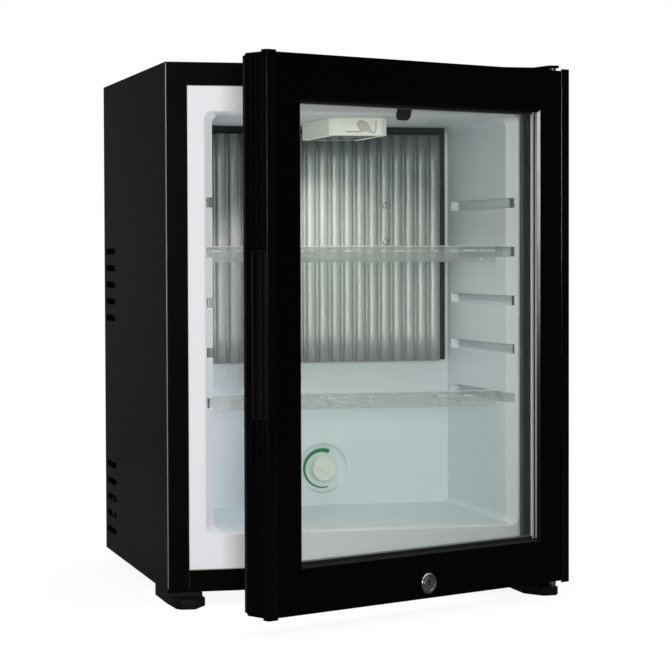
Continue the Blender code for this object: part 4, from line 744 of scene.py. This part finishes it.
FINISHES: tuple[Finish, ...] = (
    PaintedSheet(),
    DoorLacquer(),
    MouldedPlastic("black_plastic", (0.0036, 0.0036, 0.0038), (0.0070, 0.0070, 0.0070), 0.42, shine=0.14),
    MouldedPlastic("cream_plastic", (0.800, 0.790, 0.715), (0.760, 0.745, 0.665), 0.42, 0.10),
    # The light box plastic is the cream made lighter and set glowing, as painted light on its front.
    MouldedPlastic(
        "light_box_painted_light", (0.890, 0.875, 0.810), (0.860, 0.845, 0.780), 0.42, 0.08, glow=0.13),
    MouldedPlastic("lever_plastic", (0.64, 0.64, 0.59), (0.58, 0.58, 0.53), 0.45, 0.08),
    MouldedPlastic("groove_shade", (0.23, 0.23, 0.21), (0.20, 0.20, 0.18), 0.60, 0.08),
    # The corner highlight colour is a painted highlight on the shell's front corners.
    MouldedPlastic("corner_highlight", (0.24, 0.24, 0.24), (0.20, 0.20, 0.20), 0.30, 0.04),
    MouldedPlastic("green_print", (0.003, 0.200, 0.050), (0.006, 0.230, 0.062), 0.40, 0.05),
    MouldedPlastic("lamp_board", (0.72, 0.73, 0.72), (0.66, 0.68, 0.66), 0.45, 0.05),
    MouldedPlastic("nylon", (0.035, 0.035, 0.034), (0.050, 0.050, 0.048), 0.45, 0.08),
    LinerPlastic(),
    # The cooling plate's dim colour is painted shade that darkens its top.
    Aluminium("cooling_plate_metal", (0.430, 0.430, 0.420), 0.46, metal=0.25, dim=(0.150, 0.172, 0.180)),
    Aluminium("fin_metal", (0.60, 0.62, 0.63), 0.34, (9.0, 900.0, 900.0)),
    PolishedMetal("bright_steel", (0.58, 0.58, 0.58), 0.22),
    PolishedMetal("chrome_plate", (0.70, 0.70, 0.71), 0.08),
    Galvanised(),
    UnitLacquer(),
    Rubber(),
    # The plate gap shade is a dark strip of painted shade round the cooling plate.
    Rubber("plate_gap_shade", (0.020, 0.024, 0.026)),
    DoorLacquer("edge_trim_lacquer", roughness=0.12, shine=0.30),
    # The bar edge highlight is a painted highlight on the hinge bar's inner edge.
    MouldedPlastic("bar_edge_highlight", (0.30, 0.31, 0.305), (0.24, 0.25, 0.245), 0.35, 0.05),
    FoamCore(),
    ClearSheet("insulated_glass", (0.945, 0.965, 0.945), passed=(0.945, 0.955, 0.945)),
    ClearSheet("clear_plastic", (0.96, 0.975, 0.98), 0.04, 0.05, 1.46, 0.4, (0.93, 0.95, 0.96)),
    ShelfPlastic("upper_shelf_plastic", 0.3421),
    # The lower shelf is the same plastic with lighter colours, painted light for the dimmer light low in
    # the cabinet.
    ShelfPlastic("lower_shelf_plastic", 0.1909, (0.58, 0.60, 0.59), (0.68, 0.70, 0.69), cover=0.38),
    MouldedPlastic(
        "foot_plastic", (0.0045, 0.0045, 0.0045), (0.0085, 0.0085, 0.0082), 0.28, 0.12, shine=0.10),
    SpacerStrip(),
)


@dataclass
class Group:
    """A group of pieces that are finished together."""

    shop: Workshop


@dataclass
class Cabinet(Group):
    """Shell, base pan, liner, foam, rear panel, feet and hinge hardware."""

    sheet_fold: float = 0.0006
    liner_fold: float = 0.0016
    slot_depth: Span = (0.2344, 0.2970)
    slot_levels: Span = (0.0745, 0.3165)
    slot_pitch: float = 0.0188
    slot_half: float = 0.0035
    sheet_faces: Span = (-0.20498, 0.19702)
    hood_reach: float = 0.0048
    hood_drop: float = 3.4
    hood_margin: float = 0.001
    hood_rise: float = 0.0004
    hood_wall: float = 0.0006
    bead: float = 0.0006
    bead_inset: float = 0.75
    bead_ends: Span = (0.004, 0.0015)

    def build(self) -> None:
        """Finish the pieces of the cabinet."""
        shop = self.shop
        shop.softened("outer_shell", self.sheet_fold, "painted_sheet", "shell_paint")
        shop.softened("base_pan", 0.0004, "painted_sheet", "shell_paint")
        shop.softened("inner_liner", self.liner_fold, "liner_plastic", "liner_plastic", segments=3)
        shop.dress("foam_core", "insulation_foam")
        shop.dress("galvanised_sheet", "rear_insulation_panel")
        for name in ("front_foot_left", "front_foot_right"):
            shop.softened(name, 0.0007, "foot_plastic", "black_plastic")
        for name in ("rear_foot_left", "rear_foot_right"):
            shop.softened(name, 0.0010, "black_rubber", "rubber")
        shop.softened("upper_hinge_bracket", 0.0004, "painted_sheet", "black_steel")
        shop.dress("chrome_plate", "lower_hinge_pin", "upper_hinge_pin")
        # Painted highlights down both front corners.
        self.corner_highlight("left", -1.0)
        self.corner_highlight("right", 1.0)
        self.hoods("left", self.sheet_faces[0], 1.0)
        self.hoods("right", self.sheet_faces[1], -1.0)

    def corner_highlight(self, side: str, outward: float) -> None:
        """Run a thin pale bead down a front corner of the shell, a painted highlight on its edge.

        At turn a the section point is corner + radius * (cos a, sin a), with the corner taken bead_inset
        radii inside the sheet.

        Args:
            side: The corner's name.
            outward: The sign of x away from the cabinet.
        """
        low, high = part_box("outer_shell")
        inset = self.bead * self.bead_inset
        edge = high[0] - inset if outward > 0 else low[0] + inset
        turn = 2 * math.pi * np.arange(12) / 12
        x = edge + self.bead * np.cos(turn)
        y = low[1] + inset + self.bead * np.sin(turn)
        foot, top = self.bead_ends
        sections = Surfaces.column(x, y, (low[2] + foot, high[2] - top))
        self.shop.seat(Surfaces.carried(f"{side}_corner_highlight", sections), "corner_highlight", "shell_paint")

    def hoods(self, side: str, face: float, inward: float) -> None:
        """Press a hood inwards behind each louvre slot, open at its lower edge.

        At y share s and turn a from -6 to 90 degrees, the distance from the sheet is
        reach * (1 - |2s - 1|^6)^0.5 * sin a, and the level is top - drop * half * (1 - cos a).

        Args:
            side: The panel's name.
            face: The x of the sheet's inner face.
            inward: The sign of the direction into the bay.
        """
        share = np.linspace(0.0, 1.0, 25)
        turn = np.radians(np.linspace(-6.0, 90.0, 11))
        levels = [centre + (step - 2) * self.slot_pitch for centre in self.slot_levels for step in range(5)]
        level, along, around = np.meshgrid(levels, share, turn, indexing="ij")
        bulge = np.sqrt(np.clip(1.0 - np.abs(2.0 * along - 1.0) ** 6, 0.0, 1.0))
        start, stop = self.slot_depth
        x = face + inward * self.hood_reach * bulge * np.sin(around)
        y = start - self.hood_margin + along * (stop - start + 2 * self.hood_margin)
        top = level + self.slot_half + self.hood_rise
        z = top - self.hood_drop * self.slot_half * (1.0 - np.cos(around))
        one = Surfaces.grid_faces(len(share), len(turn))
        each = len(share) * len(turn)
        faces = np.concatenate([one + number * each for number in range(len(levels))])
        piece = Surfaces.mesh(f"{side}_louvre_hoods", np.stack([x, y, z], axis=-1), faces)
        modify(piece, "SOLIDIFY", thickness=self.hood_wall, offset=0.0)
        self.shop.seat(piece, "painted_sheet", "shell_paint")


@dataclass
class CoolingPlate(Group):
    """The corrugated plate, its block and the screws."""

    across: Span = (-0.143983, 0.136017)
    upright: Span = (0.2322, 0.4815)
    front: float = 0.1117
    ribs: int = 20
    rib_steps: int = 28
    rib_depth: float = 0.0050
    rib_top: float = 0.0033
    rib_foot: float = 0.0060
    crown: float = 0.0005
    sheet: float = 0.0012
    gap_shade_sides: Span = (-0.14798, 0.14002)
    gap_shade_levels: Span = (0.2330, 0.4878)
    gap_shade_half: Span = (0.0037, 0.0058)
    gap_shade_front: float = 0.1196
    gap_shade_back: float = 0.1278
    gap_shade_bulge: float = 0.0022

    def build(self) -> None:
        """Finish the plate, the dark strip of painted shade round it and its screws."""
        self.plate()
        # Painted shade in the gap round the plate.
        self.gap_shade()
        self.shop.dress("fin_metal", "evaporator_block")
        for number in range(1, 5):
            self.screw(f"plate_screw_{number}")

    def plate(self) -> None:
        """Press the ribs into the sheet.

        With d the distance from a rib's middle and h half the sheet, the sheet's middle lies
        h + (rib_depth - h) * s(t) + crown * min(d / rib_top, 1)^2 * (1 - s(t)) behind the front, where
        t goes from 0 at rib_top to 1 at rib_foot and s(t) = t^2 (3 - 2t).
        """
        steps = self.ribs * self.rib_steps + 1
        x = np.linspace(*self.across, steps)
        z = np.linspace(*self.upright, 9)
        pitch = (self.across[1] - self.across[0]) / self.ribs
        distance = np.abs((x - self.across[0]) % pitch - pitch / 2)
        share = np.clip((distance - self.rib_top) / (self.rib_foot - self.rib_top), 0.0, 1.0)
        smooth = share ** 2 * (3.0 - 2.0 * share)
        crown = self.crown * np.clip(distance / self.rib_top, 0.0, 1.0) ** 2
        half = self.sheet / 2
        depth = self.front + half + (self.rib_depth - half) * smooth + crown * (1.0 - smooth)
        along, up = np.meshgrid(x, z, indexing="ij")
        points = np.stack([along, np.broadcast_to(depth[:, None], along.shape), up], axis=-1)
        faces = Surfaces.grid_faces(steps, len(z))
        sheet = Surfaces.mesh("ribbed_cooling_plate", points, faces)
        modify(sheet, "SOLIDIFY", thickness=self.sheet, offset=0.0)
        self.shop.seat(sheet, "cooling_plate_metal", "aluminium", stands_for="cooling_plate")

    def gap_shade(self) -> None:
        """Lay a dark strip round the plate's sides and top, painted shade in the gap beside it.

        A rounded section is carried round three sides. Its point at share a across and depth y lies at
        middle + a * outward, where outward is mitred at the two upper corners.
        """
        left, right = self.gap_shade_sides
        foot, top = self.gap_shade_levels
        side, over = self.gap_shade_half
        middle = np.array([[right, foot], [right, top], [left, top], [left, foot]])
        outward = np.array([[side, 0.0], [side, over], [-side, over], [-side, 0.0]])
        turn = np.linspace(0.0, math.pi, 9)
        across = np.concatenate([-np.cos(turn), [1.0, -1.0]])
        front = self.gap_shade_front + self.gap_shade_bulge * (1.0 - np.sin(turn))
        depth = np.concatenate([front, [self.gap_shade_back, self.gap_shade_back]])
        flat = middle[:, None] + across[None, :, None] * outward[:, None]
        piece = Surfaces.carried("plate_gap_shade_strip", Surfaces.upright(flat, depth))
        piece.data.shade_flat()
        self.shop.seat(piece, "plate_gap_shade", "rubber")

    def screw(self, node: str, radius: float = 0.0036, rise: float = 0.0019, slot: float = 0.0006) -> None:
        """Press a cross recess into a round screw head.

        The height at radius r is rise * (sqrt(1 - 0.75 (r / R)^2) - 0.75 c). The share c of the recess
        falls from 1 to 0 between 0.6 and 1.4 slots from an arm's middle and between 0.54 R and 0.66 R.

        Args:
            node: The screw's node.
            radius: The radius R of its head.
            rise: The height of its head.
            slot: The half width of an arm.
        """
        low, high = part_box(node)
        centre = np.array([(low[0] + high[0]) / 2, low[1] + rise, (low[2] + high[2]) / 2])
        reach = np.concatenate([np.linspace(0.0, 1.0, 16), [1.0]]) * radius
        turn = 2 * math.pi * np.arange(64) / 64
        r, t = np.meshgrid(reach, turn, indexing="ij")
        x, z = r * np.cos(t), r * np.sin(t)
        dome = rise * np.sqrt(np.clip(1 - (r / radius) ** 2 * 0.75, 0, 1))
        across = np.minimum(np.abs(x), np.abs(z))
        arm = np.clip((slot * 1.4 - across) / (slot * 0.8), 0, 1)
        inner = np.clip((radius * 0.66 - r) / (radius * 0.12), 0, 1)
        height = dome - arm * inner * rise * 0.75
        height[-1] = 0.0
        points = np.stack([centre[0] + x, centre[1] - height, centre[2] + z], axis=-1)
        faces = Surfaces.grid_faces(len(reach), len(turn), wrap_columns=True)
        head = Surfaces.mesh(f"{node}_head", points, faces)
        modify(head, "SOLIDIFY", thickness=0.0002, offset=-1.0)
        self.shop.seat(head, "bright_steel", "bright_steel", stands_for=node)


@dataclass
class LightBox(Group):
    """The housing under the ceiling with its lens, lamp board and lever."""

    front: float = -0.0691
    groove: float = 0.00045
    groove_rise: float = 0.3
    hub: Place = (-0.0020, 0.4829, 0.0037)
    hook: Place = (0.0096, 0.4781, 0.0038)
    hook_top: Span = (0.0134, 0.4865)
    slot_sides: Span = (-0.0182, -0.0011)
    slot_level: float = 0.4754

    def build(self) -> None:
        """Finish the light box."""
        # The housing's lighter, glowing plastic is painted light.
        self.shop.softened("light_box", 0.0009, "light_box_painted_light", "cream_plastic")
        self.shop.softened("light_switch_lever", 0.0005, "lever_plastic", "cream_plastic", Rides.SWITCH)
        self.shop.dress("clear_plastic", "light_lens")
        self.shop.dress("lamp_board", "lamp_board")
        self.line("light_box_hub_ring", self.arc(self.hub, 40.0, 250.0, 15))
        hook = np.concatenate([[self.hook_top], self.arc(self.hook, 0.0, -90.0, 7)])
        self.line("light_box_hook_groove", hook)
        self.line("light_box_slot", np.array([[side, self.slot_level] for side in self.slot_sides]))

    @staticmethod
    def arc(circle: Place, start: float, stop: float, steps: int) -> np.ndarray:
        """Return (x, z) places on a circle (x, z, radius) from one turn in degrees to another."""
        turn = np.radians(np.linspace(start, stop, steps))
        return np.column_stack([circle[0] + circle[2] * np.cos(turn), circle[1] + circle[2] * np.sin(turn)])

    def line(self, name: str, path: np.ndarray) -> None:
        """Lay the shade of a groove on the front.

        At turn a round a path point the corner is point + radius * (cos a * side, rise * sin a), where
        side is square to the path in the front's plane.

        Args:
            name: The piece's name.
            path: The (x, z) places along the groove.
        """
        along = np.gradient(path, axis=0)
        along /= np.linalg.norm(along, axis=1, keepdims=True)
        side = np.column_stack([-along[:, 1], along[:, 0]])
        turn = 2 * math.pi * np.arange(8) / 8
        flat = path[:, None, :] + self.groove * np.cos(turn)[None, :, None] * side[:, None, :]
        sections = Surfaces.upright(flat, self.front - self.groove * self.groove_rise * np.sin(turn))
        self.shop.seat(Surfaces.carried(name, sections), "groove_shade", "cream_plastic")


class Thermostat(Group):
    """Knob, shaft, scale and case."""

    def build(self) -> None:
        """Finish the thermostat."""
        shop = self.shop
        shop.softened("thermostat_knob", 0.0007, "cream_plastic", "cream_plastic", Rides.DIAL, angle=20.0)
        shop.dress("green_print", "dial_scale")
        shop.dress("bright_steel", "thermostat_shaft")
        shop.dress("black_plastic", "thermostat")


class Shelves(Group):
    """The two clear shelves."""

    def build(self) -> None:
        """Finish the shelves."""
        self.shop.softened("upper_shelf", 0.0005, "upper_shelf_plastic", "clear_plastic", Rides.UPPER_SHELF)
        self.shop.softened("lower_shelf", 0.0005, "lower_shelf_plastic", "clear_plastic", Rides.LOWER_SHELF)


@dataclass
class Door(Group):
    """Bars, trims, panes, spacer, inner frame, gasket, grips and lock."""

    edge: float = 0.0005
    opening: tuple[float, float, float, float] = (-0.3532, -0.0358, 0.0612, 0.4933)
    flare: float = 0.0042
    pane_front: float = -0.0107
    bead_radius: float = 0.0009
    bead_rise: float = 1.6
    back_face: float = 0.018
    margin: float = 0.001

    def build(self) -> None:
        """Finish the door."""
        shop = self.shop
        for name in ("door_bottom_rail", "door_hinge_stile", "door_top_rail", "door_free_stile"):
            shop.softened(name, self.edge, "door_lacquer", "gloss_black", Rides.DOOR, angle=25.0)
        for name in ("free_edge_trim", "hinge_edge_trim"):
            shop.softened(name, 0.0006, "edge_trim_lacquer", "gloss_black", Rides.DOOR)
        for name in ("free_side_grip", "hinge_side_grip", "light_magnet_holder"):
            shop.softened(name, 0.0005, "black_plastic", "black_plastic", Rides.DOOR)
        shop.softened(
            "inner_door_frame", 0.0005, "black_plastic", "black_plastic", Rides.DOOR, shape=self.flared)
        # Painted highlight along the hinge bar's inner edge.
        self.bead()
        self.bellows()
        shop.dress("insulated_glass", "outer_pane", "inner_pane")
        shop.dress("spacer_strip", "glass_spacer")
        shop.dress("black_rubber", "door_gasket")
        shop.dress("nylon", "lower_hinge_bushing", "upper_hinge_bushing")
        shop.softened("lock_ring", 0.0004, "chrome_plate", "chrome", Rides.DOOR)
        shop.softened("lock_barrel", 0.0003, "chrome_plate", "chrome", Rides.LOCK)
        shop.softened("lock_tongue", 0.0002, "bright_steel", "bright_steel", Rides.LOCK)

    def bellows(self, width: float = 0.006, front: float = 0.0186, back: float = 0.0216,
                inset: float = 0.0010, free_inset: float = 0.0004) -> None:
        """Lay the gasket's outer fold round the back of the door.

        The section's corners lie at edge - width * (0 or 1) * outward, mitred at the four corners.

        Args:
            width: How far it reaches in from the door's edge.
            front: The depth of its front.
            back: The depth of its back.
            inset: How far it stays inside the inner frame's edge, or short of the hinge's axis.
            free_inset: The same at the free side.
        """
        data = self.shop.nodes["inner_door_frame"].data
        local = DoorFrame.to_local(np.array([tuple(corner.co) for corner in data.vertices]))
        left, _, low = local.min(axis=0)
        high = local[:, 2].max()
        signs = np.array([[-1, -1], [1, -1], [1, 1], [-1, 1]], float)
        edges = np.where(signs < 0, [left + free_inset, low + inset], [-inset, high - inset])
        inward = width * np.array([0.0, 0.0, 1.0, 1.0])
        flat = edges[:, None, :] - inward[None, :, None] * signs[:, None, :]
        sections = Surfaces.upright(flat, np.array([front, back, back, front]))
        piece = Surfaces.carried("gasket_outer_fold", DoorFrame.to_world(sections), True)
        piece.data.shade_flat()
        self.shop.seat(piece, "black_rubber", "rubber", Rides.DOOR)

    def flared(self, points: np.ndarray) -> np.ndarray:
        """Widen the inner frame's opening towards the cabinet.

        Points on the back face that lie on the opening's edge move outwards by the flare.

        Args:
            points: The places of the corners, (n, 3).

        Returns:
            The new places.
        """
        local = DoorFrame.to_local(points)
        left, right, low, high = self.opening
        inside_x = (local[:, 0] > left - self.margin) & (local[:, 0] < right + self.margin)
        inside_z = (local[:, 2] > low - self.margin) & (local[:, 2] < high + self.margin)
        edge = (local[:, 1] > self.back_face) & inside_x & inside_z
        middle = np.array([(left + right) / 2, 0.0, (low + high) / 2])
        local[edge] += self.flare * np.sign(local[edge] - middle) * np.array([1.0, 0.0, 1.0])
        return DoorFrame.to_world(local)

    def bead(self) -> None:
        """Run a pale quarter-round between the outer pane and the hinge side's bar, a painted highlight on
        the bar's inner edge.

        At turn a from 0 to 90 degrees the section point lies radius * cos a in from the bar and
        bead_rise * radius * sin a in front of the pane.
        """
        _, right, low, high = self.opening
        turn = np.linspace(0.0, math.pi / 2, 7)
        across = np.concatenate([right - self.bead_radius * np.cos(turn), [right]])
        rise = self.bead_radius * self.bead_rise * np.sin(turn)
        depth = np.concatenate([self.pane_front - rise, [self.pane_front]])
        sections = DoorFrame.to_world(Surfaces.column(across, depth, (low, high)))
        self.shop.seat(Surfaces.carried("hinge_bar_highlight_strip", sections), "bar_edge_highlight", "rubber", Rides.DOOR)


class CoolingUnit(Group):
    """Pipes, fins, tank, boiler, braces and the control box in the rear bay."""

    def build(self) -> None:
        """Finish the cooling unit."""
        shop = self.shop
        shop.dress("unit_lacquer", "condenser_pipe", "evaporator_pipe", "absorber_coil", "gas_return_pipe",
                   "receiver_tank", "heat_exchanger_pipe")
        shop.dress("fin_metal", "condenser_fins")
        shop.softened("boiler_sleeve", 0.0012, "galvanised_sheet", "galvanised")
        shop.dress("bright_steel", "heater_cartridge")
        for name in ("upper_unit_brace", "lower_unit_brace"):
            shop.softened(name, 0.0004, "painted_sheet", "black_steel")
        shop.softened("control_box", 0.0008, "black_plastic", "black_plastic")
        shop.softened("mains_inlet", 0.0004, "black_plastic", "black_plastic")


@dataclass
class Studio:
    """Camera, floor, world and lamps."""

    focal: float = 131.97
    position: Place = (-0.642483, -2.510468, 0.3532)
    yaw: float = math.radians(14.1506)
    pitch: float = math.radians(-1.9605)
    roll: float = math.radians(-0.1773)
    fill: float = 0.47
    room: float = 0.045
    backdrop: float = 0.12
    ceiling: float = 0.9
    floor_white: float = 1.04
    floor_shares: Span = (0.84, 0.97)
    floor_reach: float = 1.5

    def build(self) -> None:
        """Set up the studio."""
        self.camera()
        self.floor()
        self.world()
        self.lamp("key", (-0.58, -3.0, 0.54), (0.0, 0.0, 0.28), (0.4, 0.4), 46.0)
        self.lamp("left_strip", (-2.3, -1.3, 0.75), (0.0, 0.0, 0.35), (0.10, 1.6), 2.0)
        self.lamp("top", (0.1, 0.1, 2.6), (0.0, 0.0, 0.0), (1.2, 1.2), 24.0)
        self.lamp("cabinet_light", (-0.020, 0.010, 0.4704), (-0.020, 0.012, 0.0), (0.05, 0.11), 0.34, 124.0)
        self.lamp("rear", (0.7, 2.6, 0.9), (0.0, 0.3, 0.27), (0.8, 0.8), 26.0)

    def camera(self) -> None:
        """Stand the camera at the photograph's place.

        Forward is (sin yaw cos pitch, cos yaw cos pitch, sin pitch), right is (cos yaw, -sin yaw, 0),
        and both side directions are then turned by the roll.
        """
        level = math.cos(self.pitch)
        forward = Vector((math.sin(self.yaw) * level, math.cos(self.yaw) * level, math.sin(self.pitch)))
        right = Vector((math.cos(self.yaw), -math.sin(self.yaw), 0.0))
        up = right.cross(forward)
        side = right * math.cos(self.roll) + up * math.sin(self.roll)
        top = up * math.cos(self.roll) - right * math.sin(self.roll)
        data = bpy.data.cameras.new("photo_camera")
        data.lens = self.focal
        data.sensor_width = 36.0
        data.sensor_fit = "HORIZONTAL"
        camera = linked("photo_camera", data)
        turn = Matrix((side, top, -forward)).transposed().to_4x4()
        camera.matrix_world = Matrix.Translation(self.position) @ turn
        bpy.context.scene.camera = camera

    def floor(self) -> None:
        """Lay a pale floor that keeps the shadow.

        It glows white to camera and glass rays by the first of the floor shares, and dimly, as the room
        does, to mirrored rays by the second.
        """
        book = NodeBook("studio_floor")
        matt = book.node("ShaderNodeBsdfDiffuse", None, {"Color": (0.80, 0.80, 0.80)})
        straight, mirrored = book.rays()
        seen, reflected = self.floor_shares
        share = straight * seen + mirrored * reflected
        glow = straight * self.floor_white + self.room
        white = book.node("ShaderNodeEmission", None, {"Color": (1.0, 1.0, 1.0), "Strength": glow})
        material = book.finish(book.blend(share, matt, white))
        reach = self.floor_reach
        span = np.array([[-reach, -reach], [reach, -reach], [reach, reach], [-reach, reach]], float)
        points = np.column_stack([span, np.full(4, -0.0004)])
        floor = Surfaces.mesh("studio_floor", points, np.array([[0, 1, 2, 3]]))
        floor.data.materials.append(material)

    def world(self) -> None:
        """Set up the room.

        Camera and glass rays see white. Mirrored rays see a dim backdrop ahead, a soft ceiling and a dim
        room elsewhere: strength = room + backdrop + ceiling, the last two by ramps of the direction. All
        other rays get the even fill.
        """
        world = bpy.data.worlds.new("studio")
        bpy.context.scene.world = world
        book = NodeBook("studio", world)
        _, ahead, up = book.axes(book.node("ShaderNodeTexCoord", output="Generated"))
        straight, mirrored = book.rays()
        sky = up.ramp(0.35, 0.85) * self.ceiling
        shown = (ahead.ramp(0.988, 0.999) * self.backdrop + sky + self.room).least(1.0)
        strength = straight + mirrored * shown + (1.0 - straight) * (1.0 - mirrored) * self.fill
        sight = {"Color": (1.0, 1.0, 1.0), "Strength": strength}
        book.finish(book.node("ShaderNodeBackground", None, sight))
        bpy.context.scene.view_settings.view_transform = "Standard"

    def lamp(self, name: str, place: Place, target: Place, size: Span, power: float,
             spread: float = 180.0) -> None:
        """Hang a soft lamp that faces a target.

        Args:
            name: The lamp's name.
            place: Where it hangs.
            target: What it faces.
            size: Its width and height.
            power: Its power in watts.
            spread: The angle of its beam in degrees.
        """
        data = bpy.data.lights.new(name, "AREA")
        data.shape = "RECTANGLE"
        data.size, data.size_y = size
        data.energy = power
        data.spread = math.radians(spread)
        item = linked(name, data)
        item.location = place
        item.rotation_euler = (Vector(target) - Vector(place)).to_track_quat("-Z", "Y").to_euler()
        item.visible_transmission = False


def main() -> None:
    """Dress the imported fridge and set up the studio."""
    logging.basicConfig(level=logging.INFO)
    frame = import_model()
    shop = Workshop(frame["nodes"], {finish.name: finish.make() for finish in FINISHES})
    for group in (Cabinet, CoolingPlate, LightBox, Thermostat, Shelves, Door, CoolingUnit):
        group(shop).build()
        LOG.info("%s done", group.__name__)
    Studio().build()


if __name__ == "__main__":
    main()
